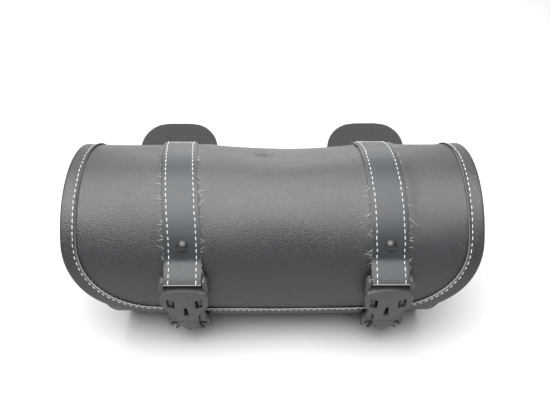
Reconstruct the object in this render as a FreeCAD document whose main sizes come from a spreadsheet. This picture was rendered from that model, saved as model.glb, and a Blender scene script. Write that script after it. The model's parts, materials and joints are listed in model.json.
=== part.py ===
"""Barrel-shaped motorcycle tail bag, as a parametric FreeCAD document.

The barrel lies along X and stands on a flat base at Z = 0. Its front faces -Y.
Angles round the barrel are in degrees, from straight forward (-Y) upwards, so
90 is the top and 180 the back. The flap turns about a line on the back of the
barrel, straight opposite the buckles, so a buckle's socket slides off its plug
along an arc about that line. Lengths are in millimetres.
"""

import FreeCAD, Part
import math
import os
import re

import Sketcher

SIZES = {
    # barrel
    "bag_length": 290,        # over the flap
    "end_overhang": 8,        # flap beyond the piping, at the barrel's top
    "end_lean": 8.5,          # both ends lean inwards towards the base
    "body_radius": 63.8,      # outside of the leather wrap
    "base_sink": 2,           # how far the flat base cuts into the round
    "leather": 1.2,
    "board": 1.2,
    "lining": 0.5,
    "piping_radius": 1.6,
    "mouth_front": 20,        # angle of the front edge of the mouth
    "mouth_back": 140,        # angle of its back edge
    "edge_tape": 0.7,         # thickness of every edge binding
    "mouth_tape_turn": 3,     # width of the mouth's binding, as an angle
    "mouth_tape_fold": 0.6,   # the same past the edge
    # flap
    "flap_gap": 3,            # air between the barrel and the flap's lining
    "flap_edge_turn": 30,     # lowest point of the front edge, below straight forward
    "flap_edge_rise": 10,     # how much higher that edge is at its ends
    "flap_corner": 58,
    "flap_low": -50,          # the flap's sheet is cut from a band down to here
    "flap_fold_gap": 1.5,     # angle left free at each side of the fold
    "binding_width": 11.5,
    "seam_margin_turn": 8.5,
    # straps and rivets
    "left_strap_share": -0.212,   # middle of each strap, as a share of the length
    "right_strap_share": 0.2776,
    "left_strap_lean": 9.5,   # how far the top end of each strap drifts to the left
    "right_strap_lean": 4.3,
    "strap_overlap": 0.5,     # strap beyond each edge of its webbing
    "strap": 1.6,
    "strap_top": 120,
    "strap_lift": 20,         # below this angle a strap leaves the flap
    "strap_play": 0.1,        # between the strap and the webbing's loop
    "strap_overhang": 3,
    "rivet_angle": 28,
    "rivet_radius": 4.25,
    "rivet_dome": 2.2,
    "shank_radius": 1.5,
    "washer": 0.8,
    "washer_radius": 4.5,
    "washer_gap": 0.2,
    "webbing_width": 25,
    "webbing": 1.3,
    "webbing_start_turn": 1,  # the webbing leaves the flap below the strap
    "webbing_free_turn": 7,   # the back ply lies on the flap over this angle
    "upper_loop_front": 51,   # where webbing meets its bar, from straight out upwards
    "upper_loop_back": -99,
    "lower_loop_front": -45,
    "lower_loop_back": 120,
    "sewn_low": -66,
    # buckles: "out" is measured from the barrel's axis, "up" along the buckle
    "buckle_angle": 12,       # how far the buckles sit below straight forward
    "buckle_stand_off": 1,    # back of a buckle, outside the flap
    "buckle_thickness": 7.8,
    "socket_wall": 1.4,
    "buckle_play": 0.4,
    "joint_line": 0.4,
    "bar_radius": 1.5,
    "bar_stand_off": 0.7,
    "bar_play": 0.1,
    "webbing_side_play": 0.7,
    "upper_bar_up": 27,
    "lower_bar_up": -24,
    # socket
    "rail_width": 3.6,        # beside the webbing
    "arch_side": 19.5,
    "arch_rise": 4,
    "arch_corner": 1,
    "shoulder_up": 12,
    "shoulder_top": 17.5,
    "shoulder_curve": 22,
    "waist_curve": 12,
    "waist_half_width": 11,
    "waist_up": -1,
    "neck_half_width": 8,
    "neck_top": -9,
    "neck_low": -13,
    "neck_wall": 1.6,
    "neck_step": 0.5,
    "pocket_half_width": 13.6,
    "pocket_low": 3.2,
    "pocket_top": 17.5,
    "throat_half_width": 11.6,
    "ear_low": 14,
    "ear_top": 29,
    "ear_thickness": 5.5,
    "ear_drop": 3,            # height and width of an ear's rounded corner
    "ear_step": 2,
    "ear_curve": 4,
    "window_inside": 7.4,
    "window_outside": 12.3,
    "window_low": 4,
    "window_top": 14.5,
    "window_slant": 1.8,
    "peephole_half_width": 1.8,
    "peephole_low": -5,
    "peephole_top": 5,
    # plug
    "slot_play": 0.4,         # bar's block short of the rails' line
    "wing_width": 2.1,
    "wing_low": -27.5,
    "wing_slot_up": -19,
    "wing_foot": 1.2,
    "wing_foot_up": 3,
    "wing_foot_curve": 3,
    "wing_top_drop": 4,
    "wing_top_step": 3,
    "wing_top_curve": 4,
    "plug_plate": 2.9,
    "plate_half_width": 12.5,
    "plate_low": -28,
    "plate_side_curve": 14,
    "notch_across": 5.5,      # between the middle point and a side point
    "notch_up": -21,
    "tip_low": -30,
    "tongue_half_width": 5.4,
    "tongue_top": -6,
    # prongs
    "prong_inside": 8.8,
    "prong_width": 2,
    "prong_grip": 2.4,
    "prong_gap": 0.35,
    "grip_end": 0.5,
    "barb": 2,
    "barb_height": 4.4,
    "barb_draft": 0.2,
    "prong_top": 14.5,
    "prong_tip": 1.4,
    "prong_tip_drop": 0.5,
    # mounting straps on the back
    "mount_share": 0.29,      # middle of each, as a share of the length
    "mount_width": 69,
    "mount_strap": 2,
    "patch_top": 180,
    "patch_low": 198,
    "tab_stand_off": 3.8,     # fold of a free end, outside the barrel
    "tab_root_gap": 1.5,
    "tab_length": 57,
    "tab_corner": 22,
    "upper_tab_angle": 181,
    "upper_tab_slope": 38,    # above horizontal
    "lower_tab_angle": 197,
    "lower_tab_slope": -32,
}

# names that are worked out from the sizes and used in many places
WORKED = {
    "centre_height": "(body_radius - base_sink)",
    "shell_inset": "(2 * piping_radius)",
    "board_radius": "(body_radius - leather)",
    "lining_radius": "(body_radius - leather - board)",
    "inner_radius": "(body_radius - leather - board - lining)",
    "flap_inner": "(body_radius + flap_gap)",
    "flap_middle": "(body_radius + flap_gap + lining)",
    "flap_outer": "(body_radius + flap_gap + lining + leather)",
    "flap_half": "(bag_length / 2)",
    "flap_edge_height": "(centre_height - flap_outer * sin(flap_edge_turn))",
    "hinge_radius": "(body_radius + flap_gap + lining + leather / 2)",
    "hinge_angle": "(180 - buckle_angle)",
    "left_strap_x": "(left_strap_share * bag_length)",
    "right_strap_x": "(right_strap_share * bag_length)",
    "strap_width": "(webbing_width + 2 * strap_overlap)",
    "mount_x": "(mount_share * bag_length)",
    "socket_in": "(flap_outer + buckle_stand_off)",
    "socket_out": "(flap_outer + buckle_stand_off + buckle_thickness)",
    "cavity_in": "(flap_outer + buckle_stand_off + socket_wall)",
    "cavity_out": "(flap_outer + buckle_stand_off + buckle_thickness - socket_wall)",
    "bar_out": "(flap_outer + bar_stand_off)",
    "loop_radius": "(bar_radius + bar_play + webbing)",
    "ear_inside": "(webbing_width / 2 + webbing_side_play)",
    "socket_half_width": "(webbing_width / 2 + webbing_side_play + rail_width)",
    "wing_half_width": "(webbing_width / 2 + webbing_side_play + wing_width)",
    "prong_low": "(neck_low - joint_line + prong_gap)",
}

X_AXIS = FreeCAD.Vector(1, 0, 0)
# turns a primitive's own Z into X, and its own X into straight forward
LYING = FreeCAD.Rotation(FreeCAD.Vector(0, -1, 0), FreeCAD.Vector(0, 0, -1), X_AXIS, "ZXY")

doc = FreeCAD.newDocument("TailBag")
sheet = doc.addObject("Spreadsheet::Sheet", "Sizes")
pieces = []


def fill_sheet():
    """Writes every driving size into the spreadsheet, with its alias."""
    for row, (name, size) in enumerate(SIZES.items(), start=1):
        sheet.set(f"A{row}", name)
        sheet.set(f"B{row}", str(size))
        sheet.setAlias(f"B{row}", name)
    doc.recompute()


# ---------------------------------------------------------------- expressions

def sized(text):
    """Gives an expression with worked names written out and sizes named in full."""
    words = re.compile(r"\b[a-z]+(?:_[a-z]+)*\b")
    while any(word in WORKED for word in words.findall(text)):
        text = words.sub(lambda match: WORKED.get(match[0], match[0]), text)
    return words.sub(lambda match: f"Sizes.{match[0]}" if match[0] in SIZES else match[0], text)


def measure(text):
    """Gives the present value of an expression, as a plain number."""
    found = sheet.evalExpression(sized(text))
    return float(getattr(found, "Value", found))


def bind(thing, **expressions):
    """Ties properties of an object to expressions of the sheet."""
    for name, text in expressions.items():
        thing.setExpression(name, sized(text))


def shift(thing, x="0", y="0", z="0"):
    """Ties an object's position to the sheet."""
    for axis, text in (("x", x), ("y", y), ("z", z)):
        thing.setExpression(f".Placement.Base.{axis}", sized(text))
    return thing


def place(thing, x="0", y="0", z="0", turn="0"):
    """Places an object: a turn about X, then a shift, all tied to the sheet."""
    thing.Placement = FreeCAD.Placement(FreeCAD.Vector(), FreeCAD.Rotation(X_AXIS, 10))
    thing.setExpression(".Placement.Rotation.Angle", sized(turn))
    return shift(thing, x, y, z)


def polar(radius, angle):
    """Across and up of a point beside the barrel's axis."""
    return f"-({radius}) * cos({angle})", f"({radius}) * sin({angle})"


def at_buckle(out, up):
    """Across and up of a point given in the buckles' own directions."""
    across = f"-({out}) * cos(buckle_angle) - ({up}) * sin(buckle_angle)"
    height = f"-({out}) * sin(buckle_angle) + ({up}) * cos(buckle_angle)"
    return across, height


# ------------------------------------------------------------------ primitives

def cylinder(name, radius, half_length, sweep="360", y="0", z="0"):
    """A cylinder along X; a part sweep starts straight forward and goes down."""
    rod = doc.addObject("Part::Cylinder", name)
    rod.Placement = FreeCAD.Placement(FreeCAD.Vector(), LYING)
    bind(rod, Radius=radius, Height=f"2 * ({half_length})", Angle=sweep)
    shift(rod, f"-({half_length})", y, z)
    return rod


def box_above(name, half_length, base):
    """A block, wider than the barrel, that stands on the height given."""
    block = doc.addObject("Part::Box", name)
    bind(block, Length=f"2 * ({half_length})", Width="4 * body_radius", Height="4 * body_radius")
    shift(block, f"-({half_length})", "-2 * body_radius", base)
    return block


def cut(name, base, tool):
    """What is left of base outside tool."""
    result = doc.addObject("Part::Cut", name)
    result.Base = base
    result.Tool = tool
    return result


def common(name, *shapes):
    """What the shapes share."""
    result = doc.addObject("Part::MultiCommon", name)
    result.Shapes = list(shapes)
    return result


def fuse(name, *shapes):
    """The shapes joined."""
    result = doc.addObject("Part::MultiFuse", name)
    result.Shapes = list(shapes)
    return result


def sector(name, inner, outer, top, low, half_length):
    """A curved layer round the barrel, from the angle top down to low."""
    pie = cylinder(name + "Pie", outer, half_length, f"({top}) - ({low})")
    core = cylinder(name + "Core", inner, f"({half_length}) + 1")
    return place(cut(name + "Sector", pie, core), z="centre_height", turn=f"-({top})")


def keep(label, thing):
    """Names a finished sub-part."""
    thing.Label = label
    pieces.append(thing)
    return thing


# -------------------------------------------------------------------- sketches

def mirrored(right):
    """Closes the right half of an outline, drawn upwards, with its mirror image.

    An arc leaves the corner that holds it, so the mirror image moves each arc
    to the corner before it.
    """
    left = []
    for index in range(len(right) - 1, -1, -1):
        across, up = right[index][:2]
        arc = right[index - 1][2:] if index else ()
        left.append((f"-({across})", up) + arc)
    if measure(right[-1][0]) == 0:
        left = left[1:]
        above = right[-2][2:]
        right = right[:-1] + [right[-1][:2] + above]
    if measure(right[0][0]) == 0:
        left = left[:-1]
    return right + left


def flipped(corners):
    """The mirror image of a whole outline, still anticlockwise."""
    turned_over = []
    for index in range(len(corners) - 1, -1, -1):
        across, up = corners[index][:2]
        turned_over.append((f"-({across})", up) + corners[index - 1][2:])
    return turned_over


def draw_edge(sketch, start, end, bulge, radius):
    """Adds a line, or an arc that bulges out of or into an anticlockwise outline."""
    first = FreeCAD.Vector(*start, 0)
    last = FreeCAD.Vector(*end, 0)
    if not bulge:
        edge = sketch.addGeometry(Part.LineSegment(first, last), False)
        return (edge, 1), (edge, 2)
    chord = last - first
    reach = math.sqrt(max(radius ** 2 - (chord.Length / 2) ** 2, 0))
    side = FreeCAD.Vector(-chord.y, chord.x, 0).normalize()
    centre = (first + last) * 0.5 + side * (reach if bulge == "out" else -reach)
    turns = [math.atan2(point.y - centre.y, point.x - centre.x) for point in (first, last)]
    if bulge == "in":
        turns.reverse()
    circle = Part.Circle(centre, FreeCAD.Vector(0, 0, 1), radius)
    edge = sketch.addGeometry(Part.ArcOfCircle(circle, turns[0], turns[1]), False)
    return ((edge, 1), (edge, 2)) if bulge == "out" else ((edge, 2), (edge, 1))


def tie(sketch, kind, value, *where):
    """Adds a dimension that follows an expression."""
    number = sketch.addConstraint(Sketcher.Constraint(kind, *where, measure(value)))
    sketch.setExpression(f"Constraints[{number}]", sized(value))


def draw_outline(sketch, corners):
    """Draws a closed outline, anticlockwise, through corners (across, up).

    A corner (across, up, "out" or "in", radius) starts an arc.
    """
    points = [(measure(corner[0]), measure(corner[1])) for corner in corners]
    ends = []
    for index, corner in enumerate(corners):
        bulge, radius = corner[2:] or ("", "0")
        following = points[(index + 1) % len(points)]
        ends.append(draw_edge(sketch, points[index], following, bulge, measure(radius)))
        if bulge:
            tie(sketch, "Radius", radius, ends[-1][0][0])
    for index, corner in enumerate(corners):
        start = ends[index][0]
        before = ends[index - 1][1]
        sketch.addConstraint(Sketcher.Constraint("Coincident", *before, *start))
        tie(sketch, "DistanceX", corner[0], -1, 1, *start)
        tie(sketch, "DistanceY", corner[1], -1, 1, *start)


def draw_circle(sketch, across, up, radius):
    """Draws a circle with its centre and radius tied to the sheet."""
    centre = FreeCAD.Vector(measure(across), measure(up), 0)
    circle = Part.Circle(centre, FreeCAD.Vector(0, 0, 1), measure(radius))
    edge = sketch.addGeometry(circle, False)
    tie(sketch, "Radius", radius, edge)
    tie(sketch, "DistanceX", across, -1, 1, edge, 3)
    tie(sketch, "DistanceY", up, -1, 1, edge, 3)


def new_sketch(name, plane):
    """Starts a body with one empty sketch on one of its origin planes."""
    body = doc.addObject("PartDesign::Body", name)
    sketch = body.newObject("Sketcher::SketchObject", name + "Sketch")
    support = next(face for face in body.Origin.OriginFeatures if face.Role == plane)
    sketch.AttachmentSupport = [(support, "")]
    sketch.MapMode = "FlatFace"
    return body, sketch


def pad_sketch(body, sketch, length):
    """Pads a sketch evenly to both sides of its plane."""
    pad = body.newObject("PartDesign::Pad", body.Name + "Pad")
    pad.Profile = sketch
    pad.SideType = "Symmetric"
    bind(pad, Length=length)
    return pad


def prism(name, plane, corners, length, hole=None):
    """A body padded from one outline, with a round hole if one is given."""
    body, sketch = new_sketch(name, plane)
    draw_outline(sketch, corners)
    if hole:
        draw_circle(sketch, *hole)
    pad_sketch(body, sketch, length)
    return body


def round_edges(body, radius, chosen):
    """Rounds the edges of a body whose middle passes the test."""
    doc.recompute()
    last = body.Tip
    names = []
    for number, edge in enumerate(last.Shape.Edges, start=1):
        middle = edge.valueAt((edge.FirstParameter + edge.LastParameter) / 2)
        if chosen(edge, middle):
            names.append(f"Edge{number}")
    fillet = body.newObject("PartDesign::Fillet", body.Name + "Fillet")
    fillet.Base = (last, names)
    bind(fillet, Radius=radius)
    return body


def turned(name, corners):
    """A body turned about its own Z from half an outline."""
    body, sketch = new_sketch(name, "XZ_Plane")
    draw_outline(sketch, corners)
    turn = body.newObject("PartDesign::Revolution", name + "Turn")
    turn.Profile = sketch
    turn.ReferenceAxis = (sketch, ["V_Axis"])
    turn.Angle = 360
    return body


# ---------------------------------------------------------------------- barrel

def flattened(name, radius, base):
    """A barrel along X, longer than the bag, with a flat base at the height given."""
    barrel = cylinder(name + "Round", radius, "bag_length", z="centre_height")
    return common(name + "Barrel", barrel, box_above(name + "Above", "bag_length", base))


def end_at(height, inset):
    """Half the barrel's length at a height: its ends lean inwards towards the base."""
    drop = f"(centre_height + body_radius - ({height}))"
    return f"(bag_length / 2 - end_overhang - {drop} * tan(end_lean) - ({inset}))"


def between_ends(name, inset):
    """A block with both leaning ends, each moved inwards by inset."""
    low = "(-body_radius)"
    high = "(3 * body_radius)"
    corners = mirrored([(end_at(low, inset), low), (end_at(high, inset), high)])
    return prism(name, "XZ_Plane", corners, "4 * body_radius")


def end_slice(name, side, inset, thickness):
    """A leaning slab at one end of the barrel, of a thickness measured along X."""
    low = "(-body_radius)"
    high = "(3 * body_radius)"
    corners = [
        (end_at(low, f"{inset} + {thickness}"), low),
        (end_at(low, inset), low),
        (end_at(high, inset), high),
        (end_at(high, f"{inset} + {thickness}"), high),
    ]
    if side < 0:
        corners = flipped(corners)
    return prism(name, "XZ_Plane", corners, "4 * body_radius")


def mouth(name):
    """The wedge of the barrel that is left open as its mouth."""
    return sector(name + "Mouth", "leather", "2 * body_radius", "mouth_back", "mouth_front",
                  "bag_length")


def make_wrap(label, outer, inner, base, thickness, inset, end_thickness=None):
    """A layer of the barrel's wall with the mouth cut out, its ends closed if asked for."""
    solid = common(label + "Solid", flattened(label + "Outer", outer, base),
                   between_ends(label + "Ends", inset))
    hollow = flattened(label + "Inner", inner, f"{base} + {thickness}")
    if end_thickness:
        hollow = common(label + "Hollow", hollow,
                        between_ends(label + "Room", f"{inset} + {end_thickness}"))
    keep(label, cut(label + "Open", cut(label + "Tube", solid, hollow), mouth(label)))


def make_barrel():
    """The leather wrap, its board and the lining, which closes both ends."""
    within = "shell_inset + leather + board"
    make_wrap("body_shell", "body_radius", "board_radius", "0", "leather", "shell_inset")
    make_wrap("body_board", "board_radius", "lining_radius", "leather", "board", within)
    make_wrap("body_lining", "lining_radius", "inner_radius", "leather + board", "lining",
              within, "lining")


def make_ends():
    """Leather end panels, the boards behind them, and the piping round their seams."""
    for name, side in (("left", -1), ("right", 1)):
        layers = (("end_panel", "shell_inset", "leather"),
                  ("end_board", "shell_inset + leather", "board"))
        for layer, inset, thickness in layers:
            label = f"{name}_{layer}"
            keep(label, common(label + "Disc", flattened(label, "board_radius", "leather"),
                               end_slice(label + "Slice", side, inset, thickness)))
        make_piping(f"{name}_piping", side)


def make_piping(label, side):
    """A thick cord sewn round an end seam, its four long edges cut square."""
    width = "(2 * piping_radius)"
    ring = cut(label + "Ring", flattened(label + "Outer", "body_radius", "0"),
               flattened(label + "Inner", f"body_radius - {width}", width))
    keep(label, common(label + "Cord", ring, end_slice(label + "Slice", side, "0", width)))


def make_mouth_tape(label, edge, away):
    """A folded tape over one edge of the mouth; away is the way the wall lies."""
    reach = f"({edge}) + {away} * mouth_tape_turn"
    fold = f"({edge}) - {away} * mouth_tape_fold"
    outside = "(body_radius + edge_tape)"
    inside = "(inner_radius - edge_tape)"
    half = "bag_length"
    top, low = (fold, reach) if away < 0 else (reach, fold)
    whole = sector(label + "Whole", inside, outside, top, low, half)
    wall_top, wall_low = (edge, reach) if away < 0 else (reach, edge)
    wall = sector(label + "Wall", "inner_radius", "body_radius", wall_top, wall_low, half)
    room = between_ends(label + "Room", "shell_inset + leather + board + lining")
    keep(label, common(label + "Trimmed", cut(label + "Tape", whole, wall), room))


# ------------------------------------------------------------------------ flap

def flap_outline(name, inset):
    """A block, seen from the front, with the flap's outline drawn in by inset."""
    half = f"(flap_half - {inset})"
    low = f"(flap_edge_height + {inset} + flap_edge_rise)"
    curve = f"({half}^2 + flap_edge_rise^2) / (2 * flap_edge_rise)"
    corners = [
        (f"-{half}", low, "out", curve),
        (half, low),
        (half, "4 * body_radius"),
        (f"-{half}", "4 * body_radius"),
    ]
    block = prism(name, "XZ_Plane", corners, "4 * body_radius")
    level = measure(low)
    return round_edges(
        block,
        f"flap_corner - {inset}",
        lambda edge, middle: abs(middle.z - level) < 0.01 and abs(middle.y) < 0.01,
    )


def rivet_holes(name):
    """Rods through the flap at both rivets."""
    rods = []
    for side in ("left", "right"):
        rod = doc.addObject("Part::Cylinder", f"{name}Hole{side}")
        bind(rod, Radius="shank_radius", Height="2 * body_radius")
        rods.append(place(rod, f"{side}_strap_x", z="centre_height", turn="90 - rivet_angle"))
    return fuse(name + "Holes", *rods)


def flap_layer(name, inner, outer, inset):
    """A curved sheet of the flap between two radii, cut to its outline."""
    band = sector(name, inner, outer, "hinge_angle - flap_fold_gap", "flap_low", "flap_half")
    return common(name + "Sheet", band, flap_outline(name + "Outline", inset))


def make_flap():
    """Panel and lining with rivet holes, and the tape folded over three edges."""
    panel = flap_layer("Panel", "flap_middle", "flap_outer", "edge_tape")
    keep("flap_panel", cut("PanelPierced", panel, rivet_holes("Panel")))
    lining = flap_layer("Lining", "flap_inner", "flap_middle", "edge_tape")
    keep("flap_lining", cut("LiningPierced", lining, rivet_holes("Lining")))
    whole = flap_layer("Tape", "flap_inner - edge_tape", "flap_outer + edge_tape", "0")
    middle = flap_outline("TapeMiddle", "binding_width")
    sheet_part = flap_layer("Filling", "flap_inner", "flap_outer", "edge_tape")
    keep("flap_binding", cut("TapeFolded", cut("TapeFrame", whole, middle), sheet_part))
    seam_top = "(hinge_angle + flap_fold_gap + seam_margin_turn)"
    seam_low = "(hinge_angle + flap_fold_gap)"
    margin = sector("Margin", "body_radius", "body_radius + leather + lining",
                    seam_top, seam_low, "flap_half")
    keep("flap_seam_margin", common("MarginTrimmed", margin, between_ends("MarginEnds", "shell_inset")))


# ---------------------------------------------------------------------- straps

def beside_bar(bar_up, radius, turn, along="0"):
    """A point beside a bar: out from it at the turn given, then along the line."""
    out = f"bar_out + ({radius}) * cos({turn}) + ({along}) * sin({turn})"
    up = f"({bar_up}) + ({radius}) * sin({turn}) - ({along}) * cos({turn})"
    return out, up


def touching(radius, bar_up, turn):
    """Angle at which a line from beside a bar first touches the barrel below it."""
    out, up = beside_bar(bar_up, "loop_radius", turn)
    away = f"acos(({radius}) / sqrt(({out})^2 + ({up})^2))"
    return f"(atan(({up}) / ({out})) - {away} - buckle_angle * 1 deg)"


def strap_room(side):
    """Room for one strap, seen from above: straight up to the rivet, leaning above it."""
    straight = "-(flap_outer * cos(rivet_angle))"
    reach = "(1 + cos(rivet_angle)) / (cos(rivet_angle) - cos(strap_top))"
    drift = f"{side}_strap_lean * {reach}"
    corners = [
        ("-(strap_width / 2)", "-(2 * body_radius)"),
        ("strap_width / 2", "-(2 * body_radius)"),
        ("strap_width / 2", straight),
        (f"strap_width / 2 - {drift}", "flap_outer"),
        (f"-(strap_width / 2) - {drift}", "flap_outer"),
        ("-(strap_width / 2)", straight),
    ]
    return prism(f"{side}StrapRoom", "XY_Plane", corners, "4 * body_radius")


def make_strap(side):
    """A leather strap: round the flap, then straight out over the webbing bar."""
    outer = "(flap_outer + strap)"
    under = "loop_radius + strap_play"
    over = "loop_radius + strap_play + strap"
    corners = [
        polar(outer, "strap_top") + ("out", outer),
        polar(outer, "strap_lift"),
        at_buckle(*beside_bar("upper_bar_up", over, "upper_loop_front")),
        at_buckle(*beside_bar("upper_bar_up", over, "upper_loop_front", "strap_overhang")),
        at_buckle(*beside_bar("upper_bar_up", under, "upper_loop_front", "strap_overhang")),
        at_buckle(*beside_bar("upper_bar_up", under, "upper_loop_front")),
        polar("flap_outer", "strap_lift") + ("in", "flap_outer"),
        polar("flap_outer", "strap_top"),
    ]
    wide = prism(f"{side}StrapSheet", "YZ_Plane", corners, "3 * strap_width")
    strap = common(f"{side}StrapLeaning", wide, strap_room(side))
    place(strap, f"{side}_strap_x", z="centre_height")
    hole = doc.addObject("Part::Cylinder", f"{side}StrapHole")
    bind(hole, Radius="shank_radius", Height="2 * body_radius")
    place(hole, f"{side}_strap_x", z="centre_height", turn="90 - rivet_angle")
    keep(f"{side}_strap", cut(f"{side}StrapPierced", strap, hole))


def make_strap_webbing(side):
    """Webbing under the strap, folded round the socket's bar."""
    webbing_top = "strap_lift - webbing_start_turn"
    front = at_buckle(*beside_bar("upper_bar_up", "loop_radius", "upper_loop_front"))
    corners = [
        polar("flap_outer", webbing_top),
        front + ("out", "loop_radius"),
        at_buckle(*beside_bar("upper_bar_up", "loop_radius", "upper_loop_back")),
        polar("flap_outer", f"{webbing_top} - webbing_free_turn") + ("in", "flap_outer"),
    ]
    hole = at_buckle("bar_out", "upper_bar_up") + ("bar_radius + bar_play",)
    webbing = prism(f"{side}StrapWebbing", "YZ_Plane", corners, "webbing_width", hole)
    keep(f"{side}_strap_webbing", place(webbing, f"{side}_strap_x", z="centre_height"))


def make_lower_webbing(side):
    """Webbing sewn low on the barrel's front, folded round the plug's bar."""
    outer = "(body_radius + webbing)"
    back = at_buckle(*beside_bar("lower_bar_up", "loop_radius", "lower_loop_back"))
    corners = [
        polar("body_radius", touching("body_radius", "lower_bar_up", "lower_loop_back")),
        back + ("out", "loop_radius"),
        at_buckle(*beside_bar("lower_bar_up", "loop_radius", "lower_loop_front")),
        polar(outer, touching(outer, "lower_bar_up", "lower_loop_front")) + ("out", outer),
        polar(outer, "sewn_low"),
        polar("body_radius", "sewn_low") + ("in", "body_radius"),
    ]
    hole = at_buckle("bar_out", "lower_bar_up") + ("bar_radius + bar_play",)
    webbing = prism(f"{side}LowerWebbing", "YZ_Plane", corners, "webbing_width", hole)
    keep(f"{side}_lower_webbing", place(webbing, f"{side}_strap_x", z="centre_height"))


def seat_rivet(thing, side):
    """Stands a turned piece on the strap's outside, pointing out of the barrel."""
    seat = polar("flap_outer + strap", "rivet_angle")
    return place(thing, f"{side}_strap_x", seat[0], f"centre_height + {seat[1]}", "90 - rivet_angle")


def make_rivet(side):
    """A domed rivet through strap, panel and lining."""
    depth = "(strap + leather + lining + washer_gap + washer)"
    dome = "(rivet_radius^2 + rivet_dome^2) / (2 * rivet_dome)"
    corners = [
        ("0", f"-{depth}"),
        ("shank_radius", f"-{depth}"),
        ("shank_radius", "0"),
        ("rivet_radius", "0", "out", dome),
        ("0", "rivet_dome"),
    ]
    keep(f"{side}_rivet", seat_rivet(turned(f"{side}Rivet", corners), side))


def make_washer(side):
    """A washer under the flap's lining, on the rivet's shank."""
    top = "(-(strap + leather + lining + washer_gap))"
    corners = [
        ("shank_radius", f"{top} - washer"),
        ("washer_radius", f"{top} - washer"),
        ("washer_radius", top),
        ("shank_radius", top),
    ]
    keep(f"{side}_rivet_washer", seat_rivet(turned(f"{side}Washer", corners), side))


# --------------------------------------------------------------------- buckles

def plate(name, corners, inner, outer):
    """A buckle outline, seen from outside, made into a plate curved about the hinge."""
    block = prism(name + "Block", "XZ_Plane", corners, "2 * hinge_radius + 60")
    tube = cylinder(name + "Tube", f"hinge_radius + ({outer})", "2 * socket_half_width",
                    y="hinge_radius")
    core = cylinder(name + "Core", f"hinge_radius + ({inner})", "2 * socket_half_width + 1",
                    y="hinge_radius")
    return common(name, block, cut(name + "Ring", tube, core))


def buckle_bar(name, up, half_length):
    """A round bar across a buckle, for the webbing."""
    return cylinder(name, "bar_radius", half_length, y="-bar_out", z=up)


def rectangle(left, right, low, top):
    """Corners of an upright rectangle."""
    return [(left, low), (right, low), (right, top), (left, top)]


def socket_corners():
    """Outline of the socket: narrow neck, round shoulders, arched top."""
    arch = "(socket_half_width - arch_corner)"
    return mirrored([
        ("neck_half_width", "neck_low"),
        ("neck_half_width", "neck_top", "in", "waist_curve"),
        ("waist_half_width", "waist_up", "out", "shoulder_curve"),
        ("socket_half_width", "shoulder_up"),
        ("socket_half_width", "shoulder_top"),
        (arch, "arch_side", "out", f"({arch}^2 + arch_rise^2) / (2 * arch_rise)"),
    ])


def cavity_corners():
    """Outline of the room inside the socket: pocket, throat and neck channels."""
    channel = "neck_half_width - neck_wall"
    below = "neck_low - 1"
    return mirrored([
        (channel, below),
        (channel, "neck_top + neck_step"),
        ("neck_half_width", "neck_top + neck_step"),
        ("neck_half_width", below),
        ("throat_half_width", below),
        ("throat_half_width", "pocket_low"),
        ("pocket_half_width", "pocket_low"),
        ("pocket_half_width", "pocket_top"),
    ])


def make_socket(side):
    """The female half: a flat pocket, two ears and the bar between them."""
    name = f"{side}Socket"
    block = plate(name + "Body", socket_corners(), "socket_in", "socket_out")
    hollows = [plate(name + "Cavity", cavity_corners(), "cavity_in", "cavity_out")]
    for number, way in enumerate((-1, 1)):
        inside = f"{way} * window_inside"
        outside = f"{way} * window_outside"
        window = [
            (inside, "window_low"),
            (outside, "window_low + window_slant"),
            (outside, "window_top"),
            (inside, "window_top - window_slant"),
        ]
        if way < 0:
            window.reverse()
        hollows.append(plate(f"{name}Window{number}", window, "cavity_out - 1", "socket_out + 1"))
    peephole = [
        ("-peephole_half_width", "peephole_low"),
        ("peephole_half_width", "peephole_low"),
        ("peephole_half_width / 2", "peephole_top"),
        ("-peephole_half_width / 2", "peephole_top"),
    ]
    hollows.append(plate(name + "Peephole", peephole, "cavity_out - 1", "socket_out + 1"))
    solid = cut(name + "Hollow", block, fuse(name + "Hollows", *hollows))
    socket = fuse(
        name + "Whole",
        solid,
        buckle_bar(name + "Bar", "upper_bar_up", "ear_inside + rail_width / 2"),
        make_ear(name + "EarLeft", -1),
        make_ear(name + "EarRight", 1),
    )
    keep(f"{side}_buckle_socket", hang_buckle(socket, side))


def make_ear(name, way):
    """A rail beside the webbing, rounded at its outer top corner."""
    corners = [
        ("ear_inside", "ear_low"),
        ("socket_half_width", "ear_low"),
        ("socket_half_width", "ear_top - ear_drop", "out", "ear_curve"),
        ("socket_half_width - ear_step", "ear_top"),
        ("ear_inside", "ear_top"),
    ]
    if way < 0:
        corners = flipped(corners)
    return plate(name, corners, "socket_in", "socket_in + ear_thickness")


def hang_buckle(thing, side):
    """Turns and shifts a buckle piece to its place on the barrel."""
    return place(thing, f"{side}_strap_x", z="centre_height", turn="buckle_angle")


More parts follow.
